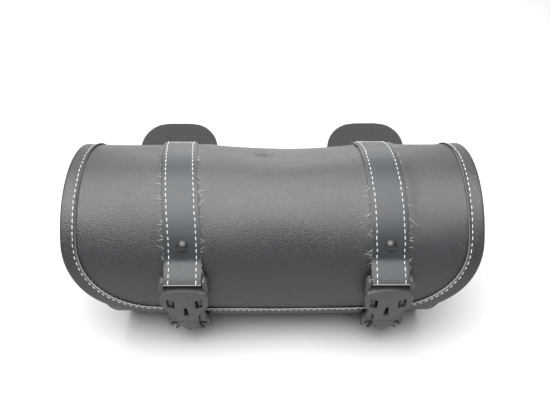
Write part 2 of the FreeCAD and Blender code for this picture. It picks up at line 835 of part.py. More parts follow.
def make_plug(side):
    """The male half: winged block, pointed front plate, tongue and bar."""
    name = f"{side}Plug"
    top = "neck_low - joint_line"
    wings = mirrored([
        ("ear_inside - slot_play", "wing_slot_up"),
        ("ear_inside - slot_play", "wing_low"),
        ("wing_half_width - wing_foot", "wing_low", "out", "wing_foot_curve"),
        ("wing_half_width", "wing_low + wing_foot_up"),
        ("wing_half_width", f"{top} - wing_top_drop", "out", "wing_top_curve"),
        ("wing_half_width - wing_top_step", top),
    ])
    front = mirrored([
        ("0", "tip_low"),
        ("notch_across", "notch_up"),
        ("plate_half_width", "plate_low", "in", "plate_side_curve"),
        ("neck_half_width", top),
    ])
    tongue = rectangle("-tongue_half_width", "tongue_half_width", "wing_slot_up", "tongue_top")
    split = "socket_out - plug_plate"
    plug = fuse(
        name + "Whole",
        plate(name + "Wings", wings, "socket_in", split),
        plate(name + "Front", front, split, "socket_out"),
        plate(name + "Tongue", tongue, "cavity_in + buckle_play", "cavity_out - buckle_play"),
        buckle_bar(name + "Bar", "lower_bar_up", "ear_inside"),
    )
    keep(f"{side}_buckle_plug", hang_buckle(plug, side))


def make_prong(side, which, way):
    """A springy prong: grip bulging at the waist, barb behind the socket's ledge."""
    outer = "(prong_inside + prong_width)"
    ledge = "(pocket_low + buckle_play)"
    grip_top = "grip_end"
    grip = f"((({grip_top} - prong_low) / 2)^2 + prong_grip^2) / (2 * prong_grip)"
    corners = [
        ("prong_inside", "prong_low"),
        (outer, "prong_low", "out", grip),
        (outer, grip_top),
        (outer, ledge),
        (f"{outer} + barb", ledge),
        (f"{outer} + barb - barb_draft", f"{ledge} + barb_height"),
        ("prong_inside + prong_tip", "prong_top"),
        ("prong_inside", "prong_top - prong_tip_drop"),
    ]
    if way < 0:
        corners = flipped(corners)
    prong = plate(f"{side}Prong{which}", corners, "cavity_in + buckle_play", "cavity_out - buckle_play")
    keep(f"{side}_buckle_{which}_prong", hang_buckle(prong, side))


# ------------------------------------------------------------- mounting straps

def make_mount_strap(side, way):
    """A wide strap: the patch sewn to the back, and its two free ends."""
    centre = f"{way} * mount_x"
    patch = sector(f"{side}Patch", "body_radius", "body_radius + mount_strap",
                   "patch_low", "patch_top", "mount_width / 2")
    keep(f"{side}_mount_patch", place(patch, centre, z="centre_height", turn="-patch_low"))
    for end in ("upper", "lower"):
        half = "mount_width / 2"
        tab = prism(f"{side}{end}Tab", "XZ_Plane",
                    rectangle(f"-{half}", half, "tab_root_gap", "tab_length"), "mount_strap")
        tip = measure("tab_length")
        round_edges(tab, "tab_corner",
                    lambda edge, middle: abs(middle.z - tip) < 0.01 and abs(middle.y) < 0.01)
        fold = polar("body_radius + tab_stand_off", f"{end}_tab_angle")
        place(tab, centre, fold[0], f"centre_height + {fold[1]}", f"{end}_tab_slope - 90")
        keep(f"{side}_{end}_mount_tab", tab)


# --------------------------------------------------------------------- writing

def check_document():
    """Stops if anything in the document failed or any sub-part is not sound."""
    doc.recompute()
    for thing in doc.Objects:
        if "Invalid" in thing.State or "Error" in thing.State:
            raise RuntimeError(f"{thing.Name} failed: {thing.State}")
    for thing in pieces:
        if thing.Shape.isNull() or not thing.Shape.isValid():
            raise RuntimeError(f"{thing.Label} is not a sound shape")


def write_parts():
    """Writes each sub-part to a STEP file of its own name."""
    os.makedirs("parts", exist_ok=True)
    for thing in pieces:
        thing.Shape.exportStep(f"parts/{thing.Label}.step")
        print(f"{thing.Label}: {len(thing.Shape.Solids)} solid, {thing.Shape.Volume:.1f} mm3")


fill_sheet()
make_barrel()
make_ends()
make_mouth_tape("front_mouth_binding", "mouth_front", -1)
make_mouth_tape("back_mouth_binding", "mouth_back", 1)
make_flap()
for strap_side in ("left", "right"):
    make_strap(strap_side)
    make_strap_webbing(strap_side)
    make_rivet(strap_side)
    make_washer(strap_side)
    make_socket(strap_side)
    make_plug(strap_side)
    make_prong(strap_side, "left", -1)
    make_prong(strap_side, "right", 1)
    make_lower_webbing(strap_side)
make_mount_strap("left", -1)
make_mount_strap("right", 1)
check_document()
write_parts()
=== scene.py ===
"""Barrel tail bag: leather, webbing, thread and buckles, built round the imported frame.

Everything is in metres. Angles round the barrel start straight forward (-Y) and go
upwards, so a quarter turn is the top and a half turn the back.
"""

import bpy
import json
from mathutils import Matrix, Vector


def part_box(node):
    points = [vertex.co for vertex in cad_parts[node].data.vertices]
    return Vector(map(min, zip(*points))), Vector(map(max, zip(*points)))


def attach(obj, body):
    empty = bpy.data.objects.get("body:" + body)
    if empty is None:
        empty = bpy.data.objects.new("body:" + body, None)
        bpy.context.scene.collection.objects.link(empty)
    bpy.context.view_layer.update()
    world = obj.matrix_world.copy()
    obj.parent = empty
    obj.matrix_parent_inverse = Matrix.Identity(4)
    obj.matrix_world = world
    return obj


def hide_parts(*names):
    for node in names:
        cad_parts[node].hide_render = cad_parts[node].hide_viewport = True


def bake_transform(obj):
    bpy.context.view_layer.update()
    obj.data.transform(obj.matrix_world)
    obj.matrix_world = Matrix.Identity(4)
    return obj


bl_info = {
    "name": "Barrel Tail Bag",
    "version": (1, 0, 0),
    "blender": (4, 5, 0),
    "location": "View3D > Sidebar > Tail Bag",
    "description": "Builds a stitched barrel tail bag round its packed frame",
    "category": "Object",
}

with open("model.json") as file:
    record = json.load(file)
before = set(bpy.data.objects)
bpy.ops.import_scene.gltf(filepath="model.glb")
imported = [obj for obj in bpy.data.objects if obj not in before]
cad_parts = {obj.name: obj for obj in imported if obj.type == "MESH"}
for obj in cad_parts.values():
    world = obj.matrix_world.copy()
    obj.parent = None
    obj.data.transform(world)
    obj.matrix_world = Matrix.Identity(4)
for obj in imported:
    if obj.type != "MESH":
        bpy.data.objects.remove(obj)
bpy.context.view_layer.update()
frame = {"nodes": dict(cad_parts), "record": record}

import json
import math

import bmesh
import bpy
import numpy as np
from bpy.props import FloatProperty, FloatVectorProperty, PointerProperty

MM = 0.001
TURN = 2 * math.pi


# ------------------------------------------------------------ sizes of the frame

def node_box(node):
    """Lowest and highest corners of a node as arrays."""
    low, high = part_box(node)
    return np.array(low), np.array(high)


END_LOW, END_HIGH = node_box("right_end_panel")
SHELL_LOW, SHELL_HIGH = node_box("body_shell")
BODY_RADIUS = (SHELL_HIGH[1] - SHELL_LOW[1]) / 2
AXIS_UP = END_HIGH[2] - (END_HIGH[1] - END_LOW[1]) / 2
PIPING_RADIUS = 1.6 * MM
PIPING_LOW, PIPING_HIGH = node_box("right_piping")
LEAN = (PIPING_HIGH[0] - PIPING_LOW[0] - 2 * PIPING_RADIUS) / (PIPING_HIGH[2] - PIPING_LOW[2])
FLAP_RADIUS = node_box("flap_panel")[1][2] - AXIS_UP
FLAP_HALF = node_box("flap_binding")[1][0]
FLAP_LOW = node_box("flap_binding")[0][2]
WEBBING_WIDTH = np.ptp(node_box("left_lower_webbing"), axis=0)[0]
STRAP_WIDTH = WEBBING_WIDTH + 1 * MM
STRAP_X = {side: sum(node_box(f"{side}_lower_webbing"))[0] / 2 for side in ("left", "right")}
STRAP_DRIFT = {side: middle - STRAP_WIDTH / 2 - node_box(f"{side}_strap")[0][0]
               for side, middle in STRAP_X.items()}
MOUNT_X = {side: sum(node_box(f"{side}_mount_patch"))[0] / 2 for side in ("left", "right")}
MOUNT_WIDTH = np.ptp(node_box("left_mount_patch"), axis=0)[0]
JOINT_AT = {joint["name"]: np.array(joint["pos_m"])
            for joint in frame["record"]["behaviour"]["joints"]}

# thicknesses and turns of the frame's layers
LEATHER = 1.2 * MM
FLAP_THICK = 1.7 * MM
TAPE = 0.7 * MM
STRAP_THICK = 1.6 * MM
WEBBING_THICK = 1.3 * MM
MOUNT_THICK = 2.0 * MM
TAB_LENGTH = 57 * MM
MOUTH_FRONT = math.radians(20)
MOUTH_BACK = math.radians(140)
STRAP_TOP = math.radians(120)
STRAP_LIFT = math.radians(20)
RIVET_TURN = math.radians(28)
BUCKLE_TURN = math.radians(12)
BAR_OUT = 69.2 * MM
UPPER_BAR = 27 * MM
LOWER_BAR = -24 * MM
BAR_WITH_PLAY = 1.6 * MM
LAYER_PLAY = 0.1 * MM
STRAP_TIP = 3 * MM
RIPPLE = 0.35 * MM
FIBRES = 46
# degrees round a bar, from straight out upwards, where webbing meets and leaves it
UPPER_LOOP = (51, -99)
LOWER_LOOP = (-45, 120)
# degrees round the barrel, from straight forward over the top
WEBBING_LOW_END = -65.5
WEBBING_RETURN = (11, 17.5)
WEBBING_START = 19
NARROWING_START = 158
NARROWING_SPAN = 16
TAPE_END = 160
FOLD_START = 163
FOLD_SPAN = 9
FLAP_SEAM = 178
PATCH_TOP = 180
PATCH_LOW = 198


def length_property(name, description, millimetres):
    """A length that is given in millimetres and kept in metres."""
    return FloatProperty(
        name=name, description=description, default=millimetres * MM, unit="LENGTH")


class TailBagSizes(bpy.types.PropertyGroup):
    """Sizes that give the bag its worn, hand-made look."""

    ridge_sag: length_property("Ridge sag", "How far the flap sinks along its top", 1.6)
    middle_sag: length_property(
        "Middle sag", "How much further it sinks between the straps", 4.6)
    dent: length_property("Dent", "Depth of the crease on top", 2.6)
    edge_rise: length_property("Edge rise", "How much higher the front edge is at its ends", 10)
    corner: length_property("Corner radius", "Rounding of the flap's two front corners", 60)
    tape_width: length_property("Binding width", "Width of the tape round the flap", 11.3)
    stitch_inset: length_property("Stitch inset", "Stitch line, inside the flap's edge", 8.8)
    strap_stitch_inset: length_property(
        "Strap stitch inset", "Stitch line, inside a strap's edge", 3.5)
    stitch_pitch: length_property("Stitch pitch", "From one stitch to the next", 4.3)
    stitch_length: length_property(
        "Stitch length", "Length of thread that shows in a stitch", 3.1)
    thread: length_property("Thread", "Radius of the sewing thread", 0.3)
    end_dome: length_property("End dome", "How far the end panels bulge", 2.2)
    buckle_edge: length_property("Buckle edges", "Rounding of the buckles' edges", 0.3)


def colour_property(name, description, value):
    """A linear colour with a sensible range."""
    return FloatVectorProperty(
        name=name, description=description, default=value, subtype="COLOR", min=0, max=1)


class TailBagColours(bpy.types.PropertyGroup):
    """Colours of the bag's stuffs."""

    leather: colour_property(
        "Leather", "Coated leather of barrel and flap", (0.010, 0.0112, 0.0132))
    strap: colour_property("Straps", "Coated leather of the straps", (0.013, 0.0165, 0.019))
    raw_edge: colour_property("Raw edge", "Cut edges of the coated leather", (0.24, 0.24, 0.24))
    thread: colour_property("Thread", "Sewing thread", (0.62, 0.63, 0.62))
    webbing: colour_property("Webbing", "Woven nylon", (0.01, 0.01, 0.011))
    mount: colour_property("Mounting straps", "Textured straps behind", (0.017, 0.017, 0.019))
    plastic: colour_property("Buckles", "Moulded plastic", (0.034, 0.0345, 0.036))
    rivet: colour_property("Rivets", "Black paint on the rivets", (0.012, 0.012, 0.013))
    lining: colour_property("Lining", "Woven lining", (0.035, 0.035, 0.04))
    board: colour_property("Board", "Stiffening board", (0.05, 0.049, 0.048))
    floor: colour_property("Floor", "The stage", (0.46, 0.46, 0.46))


# --------------------------------------------------------------------- materials

def feed(tree, socket, value):
    """Links another node's output to a socket, or sets the socket to a constant."""
    if isinstance(value, bpy.types.NodeSocket):
        tree.links.new(value, socket)
    else:
        socket.default_value = value


def add_node(tree, kind, inputs=None, **settings):
    """Adds a node, sets its properties, and sets or links its inputs."""
    node = tree.nodes.new(kind)
    for name, value in settings.items():
        setattr(node, name, value)
    for name, value in (inputs or {}).items():
        feed(tree, node.inputs[name], value)
    return node


def object_place(tree):
    """The point being shaded, in the piece's own metres."""
    return add_node(tree, "ShaderNodeTexCoord").outputs["Object"]


def sheet_place(tree):
    """The point being shaded, on its UV map in metres."""
    return add_node(tree, "ShaderNodeUVMap", uv_map="UVMap").outputs["UV"]


def noise(tree, place, scale, detail=2.0, roughness=0.5):
    """A noise texture's value."""
    values = {"Vector": place, "Scale": scale, "Detail": detail, "Roughness": roughness}
    return add_node(tree, "ShaderNodeTexNoise", values).outputs["Fac"]


def new_group(name, inputs, outputs):
    """Starts a shader node group with float or vector inputs and float outputs."""
    group = bpy.data.node_groups.new(name, "ShaderNodeTree")
    for label, value in inputs.items():
        kind = "NodeSocketVector" if value is None else "NodeSocketFloat"
        socket = group.interface.new_socket(label, in_out="INPUT", socket_type=kind)
        if value is not None:
            socket.default_value = value
    for label in outputs:
        group.interface.new_socket(label, in_out="OUTPUT", socket_type="NodeSocketFloat")
    return group, group.nodes.new("NodeGroupInput"), group.nodes.new("NodeGroupOutput")


def calculate(tree, operation, first, second=0.0, third=0.0):
    """A math node's result."""
    node = add_node(tree, "ShaderNodeMath", {0: first, 1: second, 2: third}, operation=operation)
    return node.outputs[0]


def steps(tree, value, low, high):
    """A value spread evenly from 0 at low to 1 at high, and held there."""
    node = add_node(
        tree, "ShaderNodeMapRange", {"Value": value, "From Min": low, "From Max": high},
        clamp=True)
    return node.outputs["Result"]


def grain_group():
    """Leather grain: small cells with creased borders, and finer pores over them."""
    group, source, sink = new_group(
        "Leather grain", {"Vector": None, "Cells": 700.0, "Pores": 2600.0}, ["Height"])
    cells = add_node(
        group, "ShaderNodeTexVoronoi",
        {"Vector": source.outputs["Vector"], "Scale": source.outputs["Cells"]},
        feature="DISTANCE_TO_EDGE")
    pores = noise(group, source.outputs["Vector"], source.outputs["Pores"])
    crease = steps(group, cells.outputs["Distance"], 0.0, 0.16)
    height = calculate(group, "MULTIPLY_ADD", pores, 0.7, crease)
    group.links.new(height, sink.inputs["Height"])
    return group


def dust_group():
    """Dust and scuffs: sparse specks, short streaks and a soft cloud of handling marks."""
    group, source, sink = new_group(
        "Dust and scuffs", {"Vector": None, "Specks": 420.0}, ["Specks", "Streaks", "Cloud"])
    place = source.outputs["Vector"]
    specks = noise(group, place, source.outputs["Specks"], detail=3.0, roughness=0.7)
    patches = noise(group, place, 26.0, detail=1.0)
    sparse = calculate(
        group, "MULTIPLY", steps(group, specks, 0.69, 0.76), steps(group, patches, 0.42, 0.62))
    group.links.new(sparse, sink.inputs["Specks"])
    stretched = add_node(
        group, "ShaderNodeMapping",
        {"Vector": place, "Rotation": (0.4, 0.9, 0.5), "Scale": (160.0, 1100.0, 700.0)})
    streaks = noise(group, stretched.outputs["Vector"], 1.0)
    rare = calculate(
        group, "MULTIPLY", steps(group, streaks, 0.7, 0.76), steps(group, patches, 0.5, 0.66))
    group.links.new(rare, sink.inputs["Streaks"])
    cloud = noise(group, place, 17.0, detail=4.0, roughness=0.6)
    group.links.new(steps(group, cloud, 0.3, 0.7), sink.inputs["Cloud"])
    return group


def weave_group():
    """Weave on a UV map in metres: yarns rise and fall by turns, as in a plain weave."""
    group, source, sink = new_group(
        "Weave", {"Vector": None, "Across": 900.0, "Along": 700.0}, ["Height", "Gaps"])
    parts = add_node(group, "ShaderNodeSeparateXYZ", {"Vector": source.outputs["Vector"]})
    across = calculate(group, "MULTIPLY", parts.outputs["X"], source.outputs["Across"])
    along = calculate(group, "MULTIPLY", parts.outputs["Y"], source.outputs["Along"])
    wave_across = calculate(group, "SINE", calculate(group, "MULTIPLY", across, TURN))
    wave_along = calculate(group, "SINE", calculate(group, "MULTIPLY", along, TURN))
    height = calculate(group, "MULTIPLY_ADD", wave_across, 0.5, 0.5)
    crossed = calculate(group, "MULTIPLY", wave_across, wave_along)
    height = calculate(group, "MULTIPLY_ADD", crossed, 0.5, height)
    group.links.new(height, sink.inputs["Height"])
    group.links.new(steps(group, height, 0.35, 0.0), sink.inputs["Gaps"])
    return group


def diamond_group():
    """Diamond grain on a UV map in metres: two crossing sets of ridges."""
    group, source, sink = new_group("Diamonds", {"Vector": None, "Pitch": 700.0}, ["Height"])
    parts = add_node(group, "ShaderNodeSeparateXYZ", {"Vector": source.outputs["Vector"]})
    total = calculate(group, "ADD", parts.outputs["X"], parts.outputs["Y"])
    less = calculate(group, "SUBTRACT", parts.outputs["X"], parts.outputs["Y"])
    waves = []
    for way in (total, less):
        ridges = calculate(group, "MULTIPLY", way, source.outputs["Pitch"])
        waves.append(calculate(group, "SINE", calculate(group, "MULTIPLY", ridges, TURN)))
    group.links.new(calculate(group, "MULTIPLY", *waves), sink.inputs["Height"])
    return group


def use_group(tree, name, **inputs):
    """Places a shader node group with its own values."""
    node = tree.nodes.new("ShaderNodeGroup")
    node.node_tree = bpy.data.node_groups[name]
    for label, value in inputs.items():
        feed(tree, node.inputs[label], value)
    return node.outputs


def new_material(name, roughness, specular=0.5, sheen=0.0):
    """A material with an empty Principled shader; gives material, tree, shader."""
    material = bpy.data.materials.new(name)
    material.use_nodes = True
    tree = material.node_tree
    shader = tree.nodes["Principled BSDF"]
    shader.inputs["Roughness"].default_value = roughness
    shader.inputs["Specular IOR Level"].default_value = specular
    shader.inputs["Sheen Weight"].default_value = sheen
    return material, tree, shader


def mixed(tree, share, first, second):
    """A colour that goes from first to second with share."""
    node = tree.nodes.new("ShaderNodeMix")
    node.data_type = "RGBA"
    for number, value in ((0, share), (6, first), (7, second)):
        feed(tree, node.inputs[number], value)
    return node.outputs[2]


def tinted(colour, strength=1.0):
    """A colour made lighter or darker, with full alpha."""
    return tuple(min(value * strength, 1.0) for value in colour) + (1.0,)


def bumped(tree, shader, height, depth):
    """Joins a height to the shader's normal through a bump node."""
    bump = add_node(tree, "ShaderNodeBump", {"Height": height, "Distance": depth})
    tree.links.new(bump.outputs["Normal"], shader.inputs["Normal"])


def leather_material(name, colour, raw, roughness, specular, cells, depth):
    """Coated leather: fine grain, handling marks, dust, and pale backing where it is cut.

    The attribute raw is 1 where the cut edge of the leather shows.
    """
    material, tree, shader = new_material(name, roughness, specular)
    place = object_place(tree)
    marks = use_group(tree, "Dust and scuffs", Vector=place)
    grain = use_group(tree, "Leather grain", Vector=place, Cells=cells)
    worn = mixed(tree, marks["Cloud"], tinted(colour, 0.86), tinted(colour, 1.18))
    streaks = calculate(tree, "MULTIPLY", marks["Streaks"], 0.35)
    scuffed = mixed(tree, streaks, worn, tinted(raw, 0.8))
    specks = calculate(tree, "MULTIPLY", marks["Specks"], 0.6)
    dusty = mixed(tree, specks, scuffed, tinted(raw, 1.3))
    cut = add_node(tree, "ShaderNodeAttribute", attribute_name="raw").outputs["Fac"]
    tree.links.new(mixed(tree, cut, dusty, tinted(raw)), shader.inputs["Base Color"])
    dull = calculate(tree, "MULTIPLY_ADD", marks["Cloud"], 0.1, roughness - 0.05)
    dull = calculate(tree, "MULTIPLY_ADD", cut, 0.4, dull)
    tree.links.new(dull, shader.inputs["Roughness"])
    bumped(tree, shader, grain["Height"], depth)
    return material


def cloth_material(name, colour, across, along, depth):
    """Woven stuff on a UV map in metres, with darker gaps between the yarns."""
    material, tree, shader = new_material(name, 0.8, specular=0.35, sheen=0.35)
    shader.inputs["Sheen Roughness"].default_value = 0.5
    place = sheet_place(tree)
    weave = use_group(tree, "Weave", Vector=place, Across=across, Along=along)
    shade = mixed(tree, weave["Gaps"], tinted(colour, 1.25), tinted(colour, 0.45))
    tree.links.new(shade, shader.inputs["Base Color"])
    bumped(tree, shader, weave["Height"], depth)
    return material


def mount_material(name, colour):
    """Textured strap: diamond grain, lighter on its raised ridges and darker in its grooves."""
    material, tree, shader = new_material(name, 0.62, specular=0.4, sheen=0.15)
    place = sheet_place(tree)
    diamonds = use_group(tree, "Diamonds", Vector=place, Pitch=420.0)
    ridge = steps(tree, diamonds["Height"], -0.6, 0.8)
    shade = mixed(tree, ridge, tinted(colour, 0.55), tinted(colour, 1.7))
    tree.links.new(shade, shader.inputs["Base Color"])
    bumped(tree, shader, diamonds["Height"], 0.25 * MM)
    return material


def plastic_material(name, colour):
    """Moulded plastic: fine spark texture and faint flow marks."""
    material, tree, shader = new_material(name, 0.46)
    place = object_place(tree)
    fine = noise(tree, place, 2600.0)
    flow = noise(tree, place, 90.0, detail=3.0)
    marks = use_group(tree, "Dust and scuffs", Vector=place, Specks=700.0)
    shade = mixed(tree, flow, tinted(colour, 0.85), tinted(colour, 1.15))
    specks = calculate(tree, "MULTIPLY", marks["Specks"], 0.3)
    dusty = mixed(tree, specks, shade, tinted(colour, 4))
    tree.links.new(dusty, shader.inputs["Base Color"])
    dull = calculate(tree, "MULTIPLY_ADD", flow, 0.16, 0.38)
    tree.links.new(dull, shader.inputs["Roughness"])
    bumped(tree, shader, fine, 0.05 * MM)
    return material


def thread_material(name, colour):
    """Twisted thread: a fine twill bump and slightly soiled white."""
    material, tree, shader = new_material(name, 0.75, specular=0.3, sheen=0.3)
    place = object_place(tree)
    soil = noise(tree, place, 140.0, detail=3.0)
    plies = add_node(
        tree, "ShaderNodeTexWave",
        {"Vector": place, "Scale": 900.0, "Distortion": 1.5}, bands_direction="DIAGONAL")
    share = steps(tree, soil, 0.35, 0.75)
    soiled = mixed(tree, share, tinted(colour, 0.72), tinted(colour))
    tree.links.new(soiled, shader.inputs["Base Color"])
    bumped(tree, shader, plies.outputs["Fac"], 0.08 * MM)
    return material


def metal_material(name, colour):
    """Black paint on metal, rubbed through in spots."""
    material, tree, shader = new_material(name, 0.34)
    place = object_place(tree)
    marks = use_group(tree, "Dust and scuffs", Vector=place, Specks=900.0)
    rubbed = calculate(tree, "MULTIPLY", marks["Specks"], 0.8)
    shade = mixed(tree, rubbed, tinted(colour), (0.5, 0.5, 0.5, 1.0))
    tree.links.new(shade, shader.inputs["Base Color"])
    tree.links.new(rubbed, shader.inputs["Metallic"])
    bumped(tree, shader, noise(tree, place, 1100.0), 0.06 * MM)
    return material


def board_material(name, colour):
    """Dark grey fibre board."""
    material, tree, shader = new_material(name, 0.9, specular=0.2)
    place = object_place(tree)
    fibres = noise(tree, place, 900.0, detail=5.0)
    shade = mixed(tree, fibres, tinted(colour, 0.7), tinted(colour, 1.2))
    tree.links.new(shade, shader.inputs["Base Color"])
    bumped(tree, shader, fibres, 0.1 * MM)
    return material


def lining_material(name, colour):
    """Woven lining on plain coordinates, for layers that have no UV map."""
    material, tree, shader = new_material(name, 0.85, specular=0.25, sheen=0.3)
    place = object_place(tree)
    values = {"Vector": place, "Scale": 330.0, "Distortion": 0.6}
    yarns, rows = [
        add_node(tree, "ShaderNodeTexWave", values, bands_direction=way).outputs["Fac"]
        for way in ("X", "DIAGONAL")]
    height = calculate(tree, "MULTIPLY", yarns, rows)
    shade = mixed(tree, height, tinted(colour, 0.6), tinted(colour, 1.3))
    tree.links.new(shade, shader.inputs["Base Color"])
    bumped(tree, shader, height, 0.12 * MM)
    return material


def make_materials():
    """All groups and materials, once."""
    colours = bpy.context.scene.tail_bag_colours
    grain_group()
    dust_group()
    weave_group()
    diamond_group()
    raw = tuple(colours.raw_edge)
    leather_material("Coated leather", tuple(colours.leather), raw,
                     roughness=0.4, specular=0.62, cells=650.0, depth=0.09 * MM)
    leather_material("Strap leather", tuple(colours.strap), raw,
                     roughness=0.38, specular=0.45, cells=1200.0, depth=0.04 * MM)
    cloth_material("Webbing", tuple(colours.webbing), across=420.0, along=560.0, depth=0.3 * MM)
    cloth_material(
        "Lining cloth", tuple(colours.lining), across=900.0, along=900.0, depth=0.1 * MM)
    lining_material("Plain lining", tuple(colours.lining))
    mount_material("Textured strap", tuple(colours.mount))
    plastic_material("Buckle plastic", tuple(colours.plastic))
    thread_material("White thread", tuple(colours.thread))
    thread_material("Dark thread", tuple(colours.webbing))
    metal_material("Painted rivet", tuple(colours.rivet))
    board_material("Fibre board", tuple(colours.board))


# ------------------------------------------------------------------ mesh surfaces

def smooth_step(value):
    """0 below 0, 1 above 1, and an even S between them."""
    held = np.clip(value, 0, 1)
    return held * held * (3 - 2 * held)


def hump(value, centre, half_width):
    """A cosine bell: 1 at the centre, 0 from half_width away."""
    return np.cos(np.clip((value - centre) / half_width, -1, 1) * math.pi / 2) ** 2


def unit(vectors):
    """Vectors made one long."""
    return vectors / np.maximum(np.linalg.norm(vectors, axis=-1, keepdims=True), 1e-12)


def quads_of(numbers):
    """Quads over a grid of point numbers."""
    corners = (numbers[:-1, :-1], numbers[:-1, 1:], numbers[1:, 1:], numbers[1:, :-1])
    return np.stack(corners, axis=-1).reshape(-1, 4)


def closed_sheet(outer, inner):
    """Points, faces and side numbers of a sheet between two grids.

    The side number is 0 on the outer grid, 1 on the inner grid and 2 on the rim.
    """
    rows, columns = outer.shape[:2]
    numbers = np.arange(rows * columns).reshape(rows, columns)
    face = quads_of(numbers)
    rim = np.concatenate(
        [numbers[0, :-1], numbers[:-1, -1], numbers[-1, :0:-1], numbers[:0:-1, 0]])
    after = np.roll(rim, -1)
    below = rows * columns
    edge = np.stack([after, rim, rim + below, after + below], axis=-1)
    points = np.concatenate([outer.reshape(-1, 3), inner.reshape(-1, 3)])
    faces = np.concatenate([face, face[:, ::-1] + below, edge])
    sides = np.repeat([0, 1, 2], [len(face), len(face), len(edge)])
    return points, faces, sides


def enclosed(points, faces):
    """Six times the volume inside the quads; negative if they point inwards."""
    a, b, c, d = (points[faces[:, index]] for index in range(4))
    return (a * np.cross(b, c)).sum() + (a * np.cross(c, d)).sum()


def add_piece(name, points, faces, materials, body, triangles=None, sides=None,
              uv=None, raw=None, crisp=40):
    """A mesh object from arrays, with outward faces, riding on a body."""
    if enclosed(points, faces) < 0:
        faces = faces[:, ::-1]
        triangles = None if triangles is None else triangles[:, ::-1]
    mesh = bpy.data.meshes.new(name)
    rest = [] if triangles is None else triangles.tolist()
    mesh.from_pydata(points.tolist(), [], faces.tolist() + rest)
    for label in materials:
        mesh.materials.append(bpy.data.materials[label])
    if sides is not None:
        mesh.polygons.foreach_set("material_index", sides.astype(np.int32))
    mesh.polygons.foreach_set("use_smooth", np.ones(len(mesh.polygons), dtype=bool))
    corner = np.empty(len(mesh.loops), dtype=np.int32)
    mesh.loops.foreach_get("vertex_index", corner)
    if uv is not None:
        layer = mesh.uv_layers.new(name="UVMap")
        layer.data.foreach_set("uv", uv[corner].astype(np.float32).ravel())
    if raw is not None:
        attribute = mesh.attributes.new("raw", "FLOAT", "POINT")
        attribute.data.foreach_set("value", raw.astype(np.float32))
    mesh.set_sharp_from_angle(angle=math.radians(crisp))
    mesh.validate()
    piece = bpy.data.objects.new(name, mesh)
    bpy.context.scene.collection.objects.link(piece)
    if body:
        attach(piece, body)
    return piece


def tube(path, radius, reference, sides=12, closed=False):
    """A tube round a path: a circle carried along it, square to its direction."""
    if closed:
        along = unit(np.roll(path, -1, axis=0) - np.roll(path, 1, axis=0))
    else:
        along = unit(np.gradient(path, axis=0))
    first = unit(np.cross(along, reference))
    second = np.cross(along, first)
    turn = np.linspace(0, TURN, sides, endpoint=False)
    radius = np.broadcast_to(np.asarray(radius, dtype=float), (len(path),))
    ring = (first[:, None] * np.cos(turn)[None, :, None]
            + second[:, None] * np.sin(turn)[None, :, None])
    points = (path[:, None] + ring * radius[:, None, None]).reshape(-1, 3)
    numbers = np.arange(len(points)).reshape(len(path), sides)
    wrapped = np.concatenate([numbers, numbers[:, :1]], axis=1)
    if closed:
        return points, quads_of(np.concatenate([wrapped, wrapped[:1]])), None
    ends = np.array([len(points), len(points) + 1])
    points = np.concatenate([points, path[[0, -1]]])
    caps = []
    for end, ring_numbers, way in ((ends[0], wrapped[0], 1), (ends[1], wrapped[-1], -1)):
        pair = np.stack([ring_numbers[:-1], ring_numbers[1:]][::way], axis=-1)
        caps.append(np.column_stack([np.full(len(pair), end), pair[:, ::-1]]))
    return points, quads_of(wrapped), np.concatenate(caps)


def sewn(at, along, out, length, radius):
    """Stitches: a short bent capsule for each point, with its ends below the surface.

    Each is a circle of six points carried along an arch that falls as the square of
    the distance from its middle, closed by a point at each end.
    """
    station = np.array([-0.44, -0.28, 0.0, 0.28, 0.44])
    swell = np.array([0.7, 1.0, 1.0, 1.0, 0.7])
    around = 6
    ringed = len(station) * around
    turn = np.linspace(0, TURN, around, endpoint=False)
    side = np.cross(along, out)
    length = np.broadcast_to(np.asarray(length, dtype=float), (len(at),))[:, None, None, None]
    arch = radius * (0.35 - 5.5 * station ** 2)
    centre = (at[:, None, None] + along[:, None, None] * station[None, :, None, None] * length
              + out[:, None, None] * arch[None, :, None, None])
    circle = (side[:, None, None] * np.cos(turn)[None, None, :, None]
              + out[:, None, None] * np.sin(turn)[None, None, :, None])
    rings = centre + circle * (radius * swell)[None, :, None, None]
    tips = at[:, None] + along[:, None] * np.array([-0.5, 0.5])[None, :, None] * length[:, 0]
    tips = tips - out[:, None] * radius
    points = np.concatenate([rings.reshape(len(at), -1, 3), tips], axis=1)
    numbers = np.arange(ringed).reshape(-1, around)
    wrapped = np.concatenate([numbers, numbers[:, :1]], axis=1)
    quads = quads_of(wrapped)
    first = np.column_stack([np.full(around, ringed), wrapped[0, 1:], wrapped[0, :-1]])
    last = np.column_stack([np.full(around, ringed + 1), wrapped[-1, :-1], wrapped[-1, 1:]])
    shift = (np.arange(len(at)) * (ringed + 2))[:, None, None]
    caps = np.concatenate([first, last])[:, ::-1]
    return (points.reshape(-1, 3), (quads[None] + shift).reshape(-1, 4),
            (caps[None] + shift).reshape(-1, 3))


def run_along(path):
    """Length of a path from its start to each of its points."""
    return np.concatenate([[0], np.cumsum(np.linalg.norm(np.diff(path, axis=0), axis=1))])


def picked(path, run, wanted):
    """Points of a path at the lengths wanted, given each point's run along it."""
    columns = [np.interp(wanted, run, column) for column in path.T]
    return np.stack(columns, axis=-1)


def spaced(path, pitch):
    """Points a pitch apart along a path."""
    run = run_along(path)
    count = max(int(run[-1] / pitch), 1)
    wanted = (np.arange(count) + 0.5) * run[-1] / count
    return picked(path, run, wanted)


